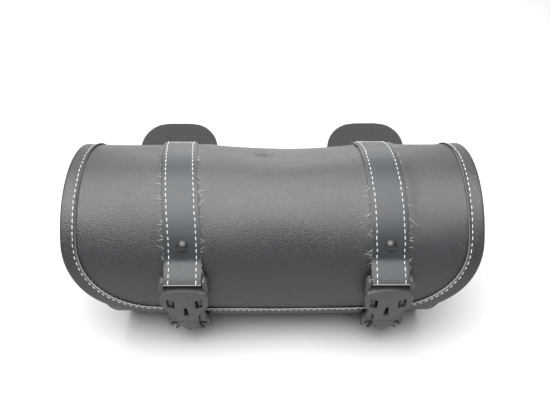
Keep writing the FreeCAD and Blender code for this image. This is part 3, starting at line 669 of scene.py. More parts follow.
def even_path(path, step, rounds=0):
    """A path with points a step apart, its corners softened by averaging neighbours."""
    run = run_along(path)
    wanted = np.linspace(0, run[-1], max(int(run[-1] / step), 2) + 1)
    path = picked(path, run, wanted)
    for _ in range(rounds):
        path[1:-1] = (path[:-2] + 2 * path[1:-1] + path[2:]) / 4
    return path


def outward_of(path, away):
    """Unit vectors square to a path in the YZ plane, on the side given by away (1 or -1)."""
    along = unit(np.gradient(path, axis=0))
    return away * np.stack([-along[:, 1], along[:, 0]], axis=-1)


def band(path, centre, width, thick, columns=25, away=1, ribs=0, rib_depth=0.0,
         half_width=None):
    """A strap along a path in the YZ plane; gives outer grid, inner grid and UVs.

    Across its width the half thickness falls a little at the two edges, and a
    cosine adds lengthwise ribs if any are asked for.
    """
    share = np.sin(np.linspace(-math.pi / 2, math.pi / 2, columns))
    half = np.full(len(path), width / 2) if half_width is None else half_width
    across = np.asarray(centre).reshape(-1, 1) + share[None] * half[:, None]
    lost_at_edge = 0.35
    reach = thick / 2 * (1 - lost_at_edge * np.abs(share) ** 14)
    if ribs:
        reach = reach + rib_depth * (np.cos(share * ribs * math.pi) - 1) / 2
    out = outward_of(path, away)
    grids = []
    for way in (1, -1):
        y = path[:, 0, None] + way * out[:, 0, None] * reach[None]
        z = path[:, 1, None] + way * out[:, 1, None] * reach[None]
        grids.append(np.stack([across, y, z], axis=-1))
    run = run_along(path)
    uv = np.stack(np.broadcast_arrays(across, run[:, None]), axis=-1).reshape(-1, 2)
    return grids[0], grids[1], np.concatenate([uv, uv])


# ------------------------------------------------------------------------ barrel

def round_point(radius, angle):
    """Y and Z at a radius and an angle round the barrel's axis."""
    y = -radius * np.cos(angle)
    z = AXIS_UP + radius * np.sin(angle)
    return np.stack(np.broadcast_arrays(y, z), axis=-1)


def end_half(height):
    """Half the barrel's length at a height, over its piping: the ends lean inwards."""
    return PIPING_HIGH[0] - (PIPING_HIGH[2] - height) * LEAN


def flat_based(radius, inset, angle):
    """A radius, shortened where the barrel is cut off by its flat base."""
    down = np.maximum(-np.sin(angle), 1e-6)
    return np.minimum(radius, (AXIS_UP - inset) / down)


def shell_piece():
    """Leather wrap: the barrel's outline from the mouth's front edge down and round
    to its back edge, carried along X, with the long slow waves of a soft wall."""
    angle = np.linspace(MOUTH_FRONT, MOUTH_BACK - TURN, 300)
    share = np.linspace(-1, 1, 90)
    wave = 0.3 * MM * np.sin(share * 6)[None] * np.sin(angle * 3 + 1)[:, None]
    wave = wave * smooth_step((AXIS_UP * (1 + np.sin(angle)) - 4 * MM) / (12 * MM))[:, None]
    wave = wave * (1 - share ** 8)[None]
    grids = []
    for depth in (0.0, LEATHER):
        radius = flat_based(BODY_RADIUS - depth, depth, angle)[:, None] + np.minimum(wave, 0)
        yz = round_point(radius, angle[:, None])
        across = share[None] * (end_half(yz[..., 1]) - 2 * PIPING_RADIUS)
        grids.append(np.concatenate([across[..., None], yz], -1))
    points, faces, _ = closed_sheet(*grids)
    raw = np.zeros((2, 300, 90))
    raw[:, [0, -1]] = 0.5
    piece = add_piece("body_leather", points, faces, ["Coated leather"], "bag",
                      raw=raw.ravel())
    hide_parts("body_shell")


def end_piece(side, way):
    """End panel: a square grid drawn onto a disc, cut to the flat base, and domed by
    one less the square of the distance from its middle."""
    sizes = bpy.context.scene.tail_bag_sizes
    share = np.sin(np.linspace(-1, 1, 61) * math.pi / 2)
    u, v = np.meshgrid(share, share)
    across = u * np.sqrt(1 - v ** 2 / 2)
    up = v * np.sqrt(1 - u ** 2 / 2)
    distance = np.hypot(across, up)
    angle = np.arctan2(up, -across)
    radius = flat_based(BODY_RADIUS - LEATHER - LAYER_PLAY, LEATHER + LAYER_PLAY, angle) * distance
    yz = round_point(radius, angle)
    ripple = 0.25 * MM * np.sin(angle * 9) * distance ** 6
    dome = sizes.end_dome * (1 - distance ** 3) - 0.3 * MM * distance ** 12 + ripple - 0.3 * MM
    grids = []
    for depth in (0.0, LEATHER - 0.3 * MM):
        x = way * (end_half(yz[..., 1]) - 2 * PIPING_RADIUS + dome - depth)
        grids.append(np.concatenate([x[..., None], yz], -1))
    points, faces, _ = closed_sheet(*grids)
    piece = add_piece(f"{side}_end_leather", points, faces, ["Coated leather"], "bag")
    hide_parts(f"{side}_end_panel")


def piping_piece(side, way):
    """Piping: a circle carried round the barrel's outline, pinched a little at each stitch."""
    angle = np.linspace(0, TURN, 320, endpoint=False)
    path = round_point(flat_based(BODY_RADIUS - PIPING_RADIUS, PIPING_RADIUS, angle), angle)
    for _ in range(3):
        path = (np.roll(path, 1, axis=0) + 2 * path + np.roll(path, -1, axis=0)) / 4
    x = way * (end_half(path[:, 1]) - PIPING_RADIUS)
    path = np.column_stack([x, path])
    radius = PIPING_RADIUS * (0.97 - 0.05 * np.abs(np.sin(angle * 45)))
    points, faces, _ = tube(path, radius, np.array([1.0, 0, 0]), 14, closed=True)
    piece = add_piece(f"{side}_end_piping", points, faces, ["Coated leather"], "bag")
    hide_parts(f"{side}_piping")


# -------------------------------------------------------------------------- flap

def flap_sink(across, angle):
    """How far the flap's leather has sunk below its full round, as a sum of bells:
    along the ridge, more between the straps, a small dent on top, and slow ripples."""
    sizes = bpy.context.scene.tail_bag_sizes
    degrees = np.degrees(angle)
    # a bell's centre and half width, in degrees round the barrel or in metres across it
    ridge = hump(degrees, 116, 44)
    middle = hump(degrees, 112, 42) * hump(across, 11 * MM, 60 * MM) ** 0.7
    dent = hump(degrees, 97, 6) * hump(across, -6 * MM, 8 * MM) ** 0.6
    second_dent = hump(degrees, 107, 4) * hump(across, -10 * MM, 5 * MM)
    sink = sizes.ridge_sag * ridge + sizes.middle_sag * middle
    sink = sink + sizes.dent * (dent + 0.5 * second_dent)
    wavelets = np.sin(across * 61 + 1.3) * np.sin(angle * 5.2 + across * 20)
    fade = smooth_step((150 - degrees) / 20) * smooth_step((degrees + 20) / 25)
    near = np.ones_like(across * degrees)
    for centre in STRAP_X.values():
        near = near * smooth_step((np.abs(across - centre) - STRAP_WIDTH / 2) / (8 * MM))
    return sink + RIPPLE * (wavelets + 1) * fade * near


def flap_place(across, run, height):
    """A point of the flap from its flat pattern: across it, the run round the barrel
    from straight forward, and the height above its outer face. Behind the fold the
    radius falls in an S to the barrel's own wall."""
    angle = run / FLAP_RADIUS
    folded = smooth_step((np.degrees(angle) - FOLD_START) / FOLD_SPAN)
    fall = (FLAP_RADIUS - BODY_RADIUS - FLAP_THICK) * folded
    radius = FLAP_RADIUS + height - fall - flap_sink(across, angle)
    y = -radius * np.cos(angle)
    z = AXIS_UP + radius * np.sin(angle)
    return np.stack(np.broadcast_arrays(across, y, z), axis=-1)


def front_edge(across):
    """Run of the flap's front edge: a shallow parabola, then two rounded corners."""
    sizes = bpy.context.scene.tail_bag_sizes
    lowest = -math.asin((AXIS_UP - FLAP_LOW) / (FLAP_RADIUS + TAPE)) * FLAP_RADIUS + 0.4 * MM
    share = np.abs(across) / FLAP_HALF
    into = np.clip((np.abs(across) - (FLAP_HALF - sizes.corner)) / sizes.corner, 0, 1)
    return lowest + sizes.edge_rise * share ** 2 + sizes.corner * (1 - np.sqrt(1 - into ** 2))


def flap_border(back_run):
    """The flap's outline in its flat pattern, from the left back round the front."""
    turn = np.linspace(-math.pi / 2, math.pi / 2, 500)
    across = FLAP_HALF * np.sin(turn)
    front = np.stack([across, front_edge(across)], axis=-1)
    left = np.array([[-FLAP_HALF, back_run]])
    right = np.array([[FLAP_HALF, back_run]])
    return even_path(np.concatenate([left, front, right]), 1 * MM, 6)


def inside_border(border, inset):
    """The border moved inwards by an inset, square to itself."""
    along = unit(np.gradient(border, axis=0))
    inwards = np.stack([-along[:, 1], along[:, 0]], axis=-1)
    return border + inwards * np.asarray(inset)[..., None]


def flap_sheet_piece():
    """The flap's leather and lining: a grid whose columns run from the seam on the
    barrel's back, over the fold and down to the front edge."""
    rows, columns = 210, 150
    across = (FLAP_HALF - TAPE) * np.sin(np.linspace(-math.pi / 2, math.pi / 2, columns))
    front = front_edge(across / (1 - TAPE / FLAP_HALF)) + TAPE
    back = math.radians(FLAP_SEAM) * FLAP_RADIUS
    share = np.linspace(0, 1, rows)[:, None]
    run = back + (front[None] - back) * share
    narrowed = smooth_step((np.degrees(run / FLAP_RADIUS) - NARROWING_START) / NARROWING_SPAN)
    across = across[None] * (1 - narrowed * (1 - end_half(AXIS_UP) / FLAP_HALF + 0.02))
    grids = [flap_place(across, run, height) for height in (0.0, -FLAP_THICK)]
    points, faces, sides = closed_sheet(*grids)
    uv = np.stack([across, run], axis=-1).reshape(-1, 2)
    raw = np.zeros((2, rows, columns))
    raw[:, 0] = 0.6
    piece = add_piece(
        "flap_leather", points, faces, ["Coated leather", "Lining cloth", "Coated leather"], None,
        sides=sides, uv=np.concatenate([uv, uv]), raw=raw.ravel())
    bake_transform(piece)
    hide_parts("flap_panel", "flap_lining", "flap_seam_margin")


def flap_tape_piece(border):
    """Tape round the flap's edge: a U carried along the border, its inner edge lifted
    a little between one stitch and the next."""
    sizes = bpy.context.scene.tail_bag_sizes
    width = sizes.tape_width
    bend = np.linspace(math.pi / 2, -math.pi / 2, 13)
    half = FLAP_THICK / 2 + TAPE
    flat = np.array([1.0, 0.93, 0.84, 0.7, 0.5, 0.3])
    inset = np.concatenate([flat * width, half * (1 - np.cos(bend)) * 0.9, flat[::-1] * width])
    height = np.concatenate([np.full(6, half), half * np.sin(bend), np.full(6, -half)])
    run = run_along(border)
    curl = np.zeros((len(border), len(inset)))
    pucker = 0.5 + 0.5 * np.cos(run / sizes.stitch_pitch * TURN)
    slow = 0.5 + 0.5 * np.sin(run * 83) * np.sin(run * 31 + 2)
    curl[:, 0] = (0.15 + 0.35 * pucker + 0.5 * slow) * MM
    curl[:, 1] = curl[:, 0] * 0.4
    grids = []
    for way in (0.0, 1.0):
        shape_inset = np.where(np.abs(height) < half - 1e-9, inset + way * TAPE * 0.9, inset)
        level = height * (1 - way * TAPE / half) - FLAP_THICK / 2
        flat_border = np.stack(
            [inside_border(border, np.full(len(border), value)) for value in shape_inset], 1)
        grids.append(flap_place(flat_border[..., 0], flat_border[..., 1], level[None] + curl))
    points, faces, _ = closed_sheet(*grids)
    low = smooth_step((45 * MM - border[:, 1]) / (50 * MM))
    right = smooth_step(border[:, 0] / (20 * MM)) * 0.5
    raw = np.zeros((2, len(border), len(inset)))
    raw[:, :, 0] = 0.3 + 0.7 * np.maximum(low, right)
    raw[0, :, 1] = 0.8 * low
    raw[:, :, -1] = 1.0
    piece = add_piece("flap_tape", points, faces, ["Coated leather"], "flap",
                      raw=raw.ravel())
    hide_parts("flap_binding")


def flap_stitch_piece(border, random):
    """White stitches along the tape."""
    sizes = bpy.context.scene.tail_bag_sizes
    line = inside_border(border, np.full(len(border), sizes.stitch_inset))
    line = spaced(line, sizes.stitch_pitch)
    line = line + random.normal(0, 0.12 * MM, line.shape)
    direction = unit(np.gradient(line, axis=0)) * 0.1 * MM
    at = flap_place(line[:, 0], line[:, 1], TAPE)
    along = unit(flap_place(line[:, 0] + direction[:, 0], line[:, 1] + direction[:, 1], TAPE) - at)
    out = unit(flap_place(line[:, 0], line[:, 1], TAPE + 0.1 * MM) - at)
    length = sizes.stitch_length * random.uniform(0.85, 1.1, len(at))
    points, faces, caps = sewn(at, along, out, length, sizes.thread)
    add_piece("flap_stitches", points, faces, ["White thread"], "flap",
              triangles=caps, crisp=180)


# ------------------------------------------------------------------------ straps

def buckle_point(out, up):
    """Y and Z of points given outwards from the axis and up along the buckle."""
    out, up = np.asarray(out), np.asarray(up)
    y = -out * math.cos(BUCKLE_TURN) - up * math.sin(BUCKLE_TURN)
    z = AXIS_UP - out * math.sin(BUCKLE_TURN) + up * math.cos(BUCKLE_TURN)
    return np.stack(np.broadcast_arrays(y, z), axis=-1)


def beside_bar(bar, radius, degrees, along=0.0):
    """A point beside a buckle's bar, then on along the tangent there."""
    turn = np.radians(degrees)
    out = BAR_OUT + radius * np.cos(turn) + along * np.sin(turn)
    up = bar + radius * np.sin(turn) - along * np.cos(turn)
    return buckle_point(out, up)


def touch_angle(radius, point):
    """Angle at which a line from a point in front first touches the barrel below it."""
    y, z = -point[0], point[1] - AXIS_UP
    return math.atan2(z, y) - math.acos(min(radius / math.hypot(y, z), 1))


def strap_middle(side, path):
    """X of a strap's middle along its path: straight up to the rivet, then drifting
    to the left, in proportion to Y, up to the strap's top end."""
    start = -FLAP_RADIUS * math.cos(RIVET_TURN)
    end = -FLAP_RADIUS * math.cos(STRAP_TOP)
    share = np.clip((path[:, 0] - start) / (end - start), 0, None)
    return STRAP_X[side] - STRAP_DRIFT[side] * share


def strap_path(side, height):
    """Path of a strap's layer: on the flap, then straight out over the webbing's loop."""
    angle = np.linspace(STRAP_TOP, STRAP_LIFT, 150)
    sink = flap_sink(np.array(STRAP_X[side]), angle)
    lying = round_point(FLAP_RADIUS + height - sink, angle)
    radius = BAR_WITH_PLAY + WEBBING_THICK + LAYER_PLAY + height
    over = beside_bar(UPPER_BAR, radius, UPPER_LOOP[0])
    tip = beside_bar(UPPER_BAR, radius, UPPER_LOOP[0], STRAP_TIP)
    return even_path(np.concatenate([lying, over[None], tip[None]]), 0.8 * MM, 12)


def strap_half_width(path, random):
    """Half width of a strap, with the small waves of a hand-cut edge."""
    run = np.linspace(0, 1, len(path))
    wave = 0.25 * MM * np.sin(run * 31 + random.uniform(0, 6)) + 0.2 * MM * np.sin(run * 83)
    return STRAP_WIDTH / 2 - 0.3 * MM + wave * 0.6


def strap_piece(side, random):
    """A leather strap with pale cut edges."""
    path = strap_path(side, STRAP_THICK / 2)
    outer, inner, uv = band(path, strap_middle(side, path), STRAP_WIDTH, STRAP_THICK, columns=31,
                            away=-1, half_width=strap_half_width(path, random))
    points, faces, _ = closed_sheet(outer, inner)
    raw = np.zeros((2,) + outer.shape[:2])
    raw[:, :, [0, -1]] = random.uniform(0.25, 1.0, (2, outer.shape[0], 2))
    raw[:, [0, -1]] = 1.0
    piece = add_piece(f"{side}_strap_leather", points, faces, ["Strap leather"], "flap",
                      uv=uv, raw=raw.ravel())
    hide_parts(f"{side}_strap")
    return path


def strap_stitches(side, path, random):
    """Two rows of white stitches along a strap and a dense row across its top."""
    sizes = bpy.context.scene.tail_bag_sizes
    out = outward_of(path, -1)
    surface = path + out * STRAP_THICK / 2
    sets = []
    for way in (-1, 1):
        line = spaced(surface, sizes.stitch_pitch)
        x = strap_middle(side, line)[:, None] + way * (STRAP_WIDTH / 2 - sizes.strap_stitch_inset)
        x = x + random.normal(0, 0.1 * MM, (len(line), 1))
        at = np.concatenate([x, line], axis=1)
        along = unit(np.gradient(at, axis=0))
        normal = np.cross(np.array([1.0, 0, 0]), along)
        normal = normal * np.sign((normal[:, 1:] * (line - [0, AXIS_UP])).sum(axis=1))[:, None]
        length = sizes.stitch_length * random.uniform(0.85, 1.1, len(at))
        sets.append(sewn(at, along, unit(normal), length, sizes.thread))
    count = 9
    top = surface[3]
    x = strap_middle(side, top[None]) + np.linspace(-0.38, 0.38, count) * STRAP_WIDTH
    at = np.column_stack([x, np.full(count, top[0]), np.full(count, top[1])])
    normal = np.tile([0, out[3, 0], out[3, 1]], (count, 1))
    along = np.tile([1.0, 0, 0], (count, 1))
    sets.append(sewn(at, along, normal, 2.4 * MM, sizes.thread * 1.15))
    join_sets(f"{side}_strap_stitches", sets, "White thread", "flap")


def join_sets(name, sets, material, body):
    """One piece from several sets of points, quads and triangles."""
    points, quads, triangles, start = [], [], [], 0
    for these, faces, caps in sets:
        points.append(these)
        quads.append(faces + start)
        triangles.append(caps + start)
        start += len(these)
    return add_piece(name, np.concatenate(points), np.concatenate(quads), [material], body,
                     triangles=np.concatenate(triangles), crisp=180)


def strap_fray(side, path, random):
    """Loose fibres at a strap's edges: thin tapering tubes along random parabolas."""
    out = outward_of(path, -1)
    middle = strap_middle(side, path)
    sets = []
    share = np.linspace(0, 1, 7)[:, None]
    for _ in range(FIBRES):
        way = random.choice([-1.0, 1.0])
        row = int(random.integers(4, len(path) - 4))
        length = random.gamma(2.0, 1.3) * MM + 0.8 * MM
        start = np.array([middle[row] + way * (STRAP_WIDTH / 2 - 0.5 * MM), *path[row]])
        slope = np.array([way, 0, 0]) * random.uniform(0.25, 1.0)
        tangent = unit(path[row + 2] - path[row - 2]) * random.uniform(-0.9, 0.9)
        normal = np.array([0, *out[row]])
        first = unit(slope + np.array([0, *tangent]) + normal * 0.1)
        bend = np.array([0, *tangent]) * random.uniform(-0.6, 0.6)
        bend = bend + normal * random.uniform(-0.02, 0.1)
        line = start + normal * 0.3 * MM + first * length * share + bend * length * share ** 2
        radius = random.uniform(0.07, 0.13) * MM * (1 - 0.7 * share[:, 0])
        sets.append(tube(line, radius, np.array([0.3, 0.5, 0.8]), 5))
    join_sets(f"{side}_strap_fray", sets, "White thread", "flap")


# ----------------------------------------------------------------------- webbing

def loop_arc(bar, start, end):
    """Webbing round a bar, on the middle of its thickness."""
    return beside_bar(bar, BAR_WITH_PLAY + WEBBING_THICK / 2, np.linspace(start, end, 24))


def upper_webbing_piece(side):
    """Webbing from under the strap, round the socket's bar and back to the flap."""
    height = WEBBING_THICK / 2
    front = round_point(FLAP_RADIUS + height, math.radians(WEBBING_START))[None]
    back = round_point(FLAP_RADIUS + height, np.radians(np.linspace(*WEBBING_RETURN, 8)))
    path = np.concatenate([front, loop_arc(UPPER_BAR, *UPPER_LOOP), back])
    webbing_piece(f"{side}_strap_webbing_weave", even_path(path, 0.4 * MM, 3), side, "flap",
                  f"{side}_strap_webbing", -1)


def lower_webbing_piece(side):
    """Webbing from the barrel's lower front, round the plug's bar and back."""
    radius = BODY_RADIUS + WEBBING_THICK / 2
    arc = loop_arc(LOWER_BAR, *LOWER_LOOP)
    front_touch = touch_angle(radius, arc[0])
    back_touch = touch_angle(radius, arc[-1])
    lying = round_point(radius, np.linspace(math.radians(WEBBING_LOW_END), front_touch, 40))
    back = round_point(radius, np.linspace(back_touch, max(back_touch, front_touch) - 0.02, 6))
    path = np.concatenate([lying, arc, back[:3]])
    webbing_piece(f"{side}_lower_webbing_weave", even_path(path, 0.4 * MM, 3), side, "bag",
                  f"{side}_lower_webbing", 1)


def webbing_piece(name, path, side, body, replaced, away):
    """Ribbed woven webbing along a path."""
    outer, inner, uv = band(path, STRAP_X[side], WEBBING_WIDTH, WEBBING_THICK - LAYER_PLAY,
                            columns=85, away=away, ribs=16, rib_depth=0.22 * MM)
    points, faces, _ = closed_sheet(outer, inner)
    piece = add_piece(name, points, faces, ["Webbing"], body, uv=uv)
    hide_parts(replaced)


# --------------------------------------------------------------- mounting straps

def mount_patch_piece(side):
    """The sewn part of a mounting strap, on the barrel's back."""
    radius = BODY_RADIUS + MOUNT_THICK / 2
    path = round_point(radius, np.radians(np.linspace(PATCH_LOW, PATCH_TOP, 40)))
    outer, inner, uv = band(path, MOUNT_X[side], MOUNT_WIDTH, MOUNT_THICK, columns=45, away=1)
    points, faces, _ = closed_sheet(outer, inner)
    piece = add_piece(f"{side}_mount_patch_strap", points, faces, ["Textured strap"], "bag",
                      uv=uv)
    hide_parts(f"{side}_mount_patch")
    sizes = bpy.context.scene.tail_bag_sizes
    at, along, out = [], [], []
    for angle in (PATCH_TOP + 1.5, PATCH_LOW - 1.5):
        turn = math.radians(angle)
        across = np.arange(-MOUNT_WIDTH / 2 + 4 * MM, MOUNT_WIDTH / 2 - 3 * MM, sizes.stitch_pitch)
        line = MOUNT_X[side] + across
        yz = round_point(radius + MOUNT_THICK / 2, turn)
        at.append(np.column_stack([line, np.tile(yz, (len(line), 1))]))
        along.append(np.tile([1.0, 0, 0], (len(line), 1)))
        out.append(np.tile([0, -math.cos(turn), math.sin(turn)], (len(line), 1)))
    for way in (-1, 1):
        turn = np.radians(np.arange(PATCH_TOP + 4, PATCH_LOW - 2.5, 3.3))
        yz = round_point(radius + MOUNT_THICK / 2, turn)
        x = np.full(len(turn), MOUNT_X[side] + way * (MOUNT_WIDTH / 2 - 4 * MM))
        at.append(np.column_stack([x, yz]))
        along.append(np.column_stack([np.zeros(len(turn)), np.sin(turn), np.cos(turn)]))
        out.append(np.column_stack([np.zeros(len(turn)), -np.cos(turn), np.sin(turn)]))
    points, faces, caps = sewn(np.concatenate(at), np.concatenate(along), np.concatenate(out),
                               sizes.stitch_length, sizes.thread * 0.9)
    add_piece(f"{side}_mount_stitches", points, faces, ["Dark thread"], "bag",
              triangles=caps, crisp=180)


def mount_tab_piece(side, end, angle, slope, way):
    """A free end of a mounting strap: from the patch round its fold, then out along a
    slope with a slow curl, its tip cut to a rounded shape."""
    joint = JOINT_AT[f"{side}_{end}_tab_bend"]
    fold = joint[1:]
    turn = math.radians(slope)
    direction = np.array([math.cos(turn), math.sin(turn)])
    edge = round_point(BODY_RADIUS + MOUNT_THICK / 2 + 0.05 * MM, math.radians(angle))
    run = np.linspace(1.5 * MM, TAB_LENGTH, 60)
    share = run / TAB_LENGTH
    curl = way * 1.5 * MM * (share ** 2 - share)
    square = np.array([-direction[1], direction[0]])
    free = fold + direction * run[:, None] + square * curl[:, None]
    path = even_path(np.concatenate([edge[None], (edge + fold)[None] / 2, free]), 0.9 * MM, 8)
    total = run_along(path)
    corner = 24 * MM
    into = np.clip((total - (total[-1] - corner)) / corner, 0, 1)
    half = MOUNT_WIDTH / 2 - corner * (1 - np.sqrt(np.maximum(1 - into ** 2, 0)))
    outer, inner, uv = band(path, MOUNT_X[side], MOUNT_WIDTH, MOUNT_THICK * 0.92, columns=45,
                            away=way, half_width=half)
    points, faces, _ = closed_sheet(outer, inner)
    piece = add_piece(f"{side}_{end}_mount_end", points, faces, ["Textured strap"], None,
                      uv=uv)
    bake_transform(piece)
    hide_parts(f"{side}_{end}_mount_tab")


# ----------------------------------------------------------------------- buckles

def moulded_copy(node, body, edge):
    """A buckle piece of the frame, its loose triangles joined and its edges rounded."""
    source = frame["nodes"][node]
    mesh = bpy.data.meshes.new(node + "_moulded")
    work = bmesh.new()
    work.from_mesh(source.data)
    bmesh.ops.remove_doubles(work, verts=work.verts, dist=2e-6)
    work.to_mesh(mesh)
    work.free()
    mesh.transform(source.matrix_world)
    mesh.materials.clear()
    mesh.materials.append(bpy.data.materials["Buckle plastic"])
    mesh.polygons.foreach_set("material_index", np.zeros(len(mesh.polygons), dtype=np.int32))
    mesh.polygons.foreach_set("use_smooth", np.ones(len(mesh.polygons), dtype=bool))
    piece = bpy.data.objects.new(node + "_moulded", mesh)
    bpy.context.scene.collection.objects.link(piece)
    bevel = piece.modifiers.new("Rounded edges", "BEVEL")
    bevel.width = edge
    bevel.segments = 2
    bevel.limit_method = "ANGLE"
    bevel.angle_limit = math.radians(38)
    bevel.use_clamp_overlap = False
    bevel.harden_normals = True
    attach(piece, body)
    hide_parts(node)


def dress(node, material):
    """A better material for a piece of the frame that stays."""
    piece = frame["nodes"][node]
    if not piece.material_slots:
        piece.data.materials.append(None)
    for place in piece.material_slots:
        place.material = bpy.data.materials[material]


# ------------------------------------------------------------------------- stage

def make_floor(colour):
    """A wide pale floor just under the bag."""
    mesh = bpy.data.meshes.new("floor")
    reach = 4.0
    level = -0.0002
    mesh.from_pydata([(-reach, -reach, level), (reach, -reach, level), (reach, reach, level),
                      (-reach, reach, level)], [], [(0, 1, 2, 3)])
    material, _, shader = new_material("Pale floor", 0.7, specular=0.2)
    shader.inputs["Base Color"].default_value = tinted(colour)
    mesh.materials.append(material)
    floor = bpy.data.objects.new("floor", mesh)
    bpy.context.scene.collection.objects.link(floor)


def make_light(name, place, target, size, power):
    """A square soft light that faces a target."""
    light = bpy.data.lights.new(name, "AREA")
    light.shape = "SQUARE"
    light.size = size
    light.energy = power
    lamp = bpy.data.objects.new(name, light)
    lamp.location = place
    aim = np.array(target) - np.array(place)
    lamp.rotation_euler = Vector(aim).to_track_quat("-Z", "Y").to_euler()
    bpy.context.scene.collection.objects.link(lamp)


def make_camera():
    """The camera, in front of the bag and well above it, turned up and right a little."""
    elevation = math.radians(38)
    distance = 0.471
    turned_up = math.radians(2.1318)
    turned_right = math.radians(0.2908)
    camera = bpy.data.cameras.new("camera")
    camera.sensor_width = 36
    camera.lens = 38.684
    eye = bpy.data.objects.new("camera", camera)
    eye.location = (0, -distance * math.cos(elevation), AXIS_UP + distance * math.sin(elevation))
    eye.rotation_euler = (math.pi / 2 - elevation + turned_up, 0, -turned_right)
    bpy.context.scene.collection.objects.link(eye)
    bpy.context.scene.camera = eye


# --------------------------------------------------------------------- operators

class PieceOperator:
    """What every operator of this add-on shares."""

    bl_options = {"REGISTER", "UNDO"}

    def execute(self, context):
        """Builds the operator's pieces."""
        self.build()
        return {"FINISHED"}


class TAILBAG_OT_materials(PieceOperator, bpy.types.Operator):
    """Make the shared node groups and all materials"""

    bl_idname = "tailbag.materials"
    bl_label = "Materials"

    def build(self):
        make_materials()


class TAILBAG_OT_barrel(PieceOperator, bpy.types.Operator):
    """Build the barrel's wrap, its end panels and their piping"""

    bl_idname = "tailbag.barrel"
    bl_label = "Barrel"

    def build(self):
        shell_piece()
        for side, way in (("left", -1), ("right", 1)):
            end_piece(side, way)
            piping_piece(side, way)


class TAILBAG_OT_flap(PieceOperator, bpy.types.Operator):
    """Build the flap, the tape round it and its stitches"""

    bl_idname = "tailbag.flap"
    bl_label = "Flap"

    def build(self):
        random = np.random.default_rng(11)
        border = flap_border(math.radians(TAPE_END) * FLAP_RADIUS)
        flap_sheet_piece()
        flap_tape_piece(border)
        flap_stitch_piece(border, random)


class TAILBAG_OT_straps(PieceOperator, bpy.types.Operator):
    """Build both leather straps with stitches and frayed edges"""

    bl_idname = "tailbag.straps"
    bl_label = "Straps"

    def build(self):
        random = np.random.default_rng(23)
        for side in ("left", "right"):
            path = strap_piece(side, random)
            strap_stitches(side, path, random)
            strap_fray(side, path, random)


class TAILBAG_OT_webbing(PieceOperator, bpy.types.Operator):
    """Build the webbing round the buckles' bars"""

    bl_idname = "tailbag.webbing"
    bl_label = "Webbing"

    def build(self):
        for side in ("left", "right"):
            upper_webbing_piece(side)
            lower_webbing_piece(side)


class TAILBAG_OT_mounts(PieceOperator, bpy.types.Operator):
    """Build the two mounting straps behind"""

    bl_idname = "tailbag.mounts"
    bl_label = "Mounting straps"

    def build(self):
        for side in ("left", "right"):
            mount_patch_piece(side)
            mount_tab_piece(side, "upper", PATCH_TOP, slope=38, way=1)
            mount_tab_piece(side, "lower", PATCH_LOW, slope=-32, way=-1)


class TAILBAG_OT_buckles(PieceOperator, bpy.types.Operator):
    """Mould the buckles and finish the rivets"""

    bl_idname = "tailbag.buckles"
    bl_label = "Buckles and rivets"

    def build(self):
        edge = bpy.context.scene.tail_bag_sizes.buckle_edge
        for side in ("left", "right"):
            moulded_copy(f"{side}_buckle_socket", "flap", edge)
            moulded_copy(f"{side}_buckle_plug", "bag", edge)
            for which in ("left", "right"):
                prong = f"{side}_buckle_{which}_prong"
                moulded_copy(prong, prong, edge / 3)
            dress(f"{side}_rivet", "Painted rivet")
            dress(f"{side}_rivet_washer", "Painted rivet")


class TAILBAG_OT_inside(PieceOperator, bpy.types.Operator):
    """Finish the lining, the boards and the tapes of the mouth"""

    bl_idname = "tailbag.inside"
    bl_label = "Inside"

    def build(self):
        dress("body_lining", "Plain lining")
        for node in ("body_board", "left_end_board", "right_end_board"):
            dress(node, "Fibre board")
        for node in ("front_mouth_binding", "back_mouth_binding"):
            dress(node, "Coated leather")


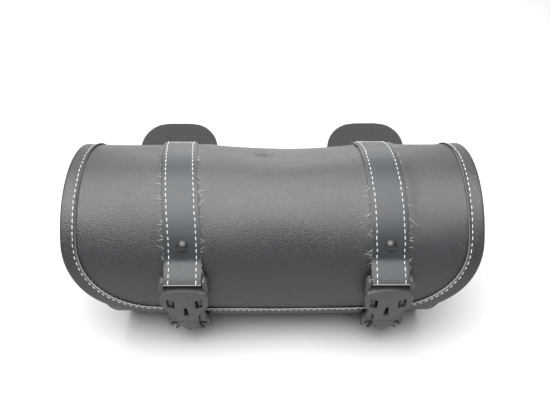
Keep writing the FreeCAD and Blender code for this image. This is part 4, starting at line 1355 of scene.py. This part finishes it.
class TAILBAG_OT_stage(PieceOperator, bpy.types.Operator):
    """Set up the floor, the lights and the camera"""

    bl_idname = "tailbag.stage"
    bl_label = "Stage"

    def build(self):
        scene = bpy.context.scene
        make_floor(tuple(scene.tail_bag_colours.floor))
        make_camera()
        middle = (0, 0, AXIS_UP)
        make_light("top light", (-0.1, -0.3, 1.2), middle, size=1.6, power=62)
        make_light("back light", (0, 1.1, 0.7), middle, size=1.0, power=12)
        world = bpy.data.worlds.new("studio")
        world.use_nodes = True
        world.node_tree.nodes["Background"].inputs["Color"].default_value = (0.93, 0.95, 1.0, 1.0)
        world.node_tree.nodes["Background"].inputs["Strength"].default_value = 0.25
        scene.world = world
        scene.view_settings.view_transform = "Standard"


OPERATORS = (
    TAILBAG_OT_materials,
    TAILBAG_OT_barrel,
    TAILBAG_OT_flap,
    TAILBAG_OT_straps,
    TAILBAG_OT_webbing,
    TAILBAG_OT_mounts,
    TAILBAG_OT_buckles,
    TAILBAG_OT_inside,
    TAILBAG_OT_stage,
)


class TAILBAG_PT_panel(bpy.types.Panel):
    """Sidebar panel with the bag's sizes, colours and operators."""

    bl_idname = "TAILBAG_PT_panel"
    bl_label = "Tail Bag"
    bl_space_type = "VIEW_3D"
    bl_region_type = "UI"
    bl_category = "Tail Bag"

    def draw(self, context):
        """Lists every setting and operator."""
        for group in (context.scene.tail_bag_sizes, context.scene.tail_bag_colours):
            box = self.layout.box()
            for name in group.__annotations__:
                box.prop(group, name)
        for operator in OPERATORS:
            self.layout.operator(operator.bl_idname)


CLASSES = (TailBagSizes, TailBagColours) + OPERATORS + (TAILBAG_PT_panel,)


def register():
    """Registers the classes and the scene's settings."""
    for kind in CLASSES:
        bpy.utils.register_class(kind)
    bpy.types.Scene.tail_bag_sizes = PointerProperty(type=TailBagSizes)
    bpy.types.Scene.tail_bag_colours = PointerProperty(type=TailBagColours)


def unregister():
    """Takes the settings and the classes away again."""
    del bpy.types.Scene.tail_bag_colours
    del bpy.types.Scene.tail_bag_sizes
    for kind in reversed(CLASSES):
        bpy.utils.unregister_class(kind)


def main():
    """Registers the add-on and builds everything."""
    register()
    for operator in OPERATORS:
        group, name = operator.bl_idname.split(".")
        getattr(getattr(bpy.ops, group), name)()


if __name__ == "__main__":
    main()
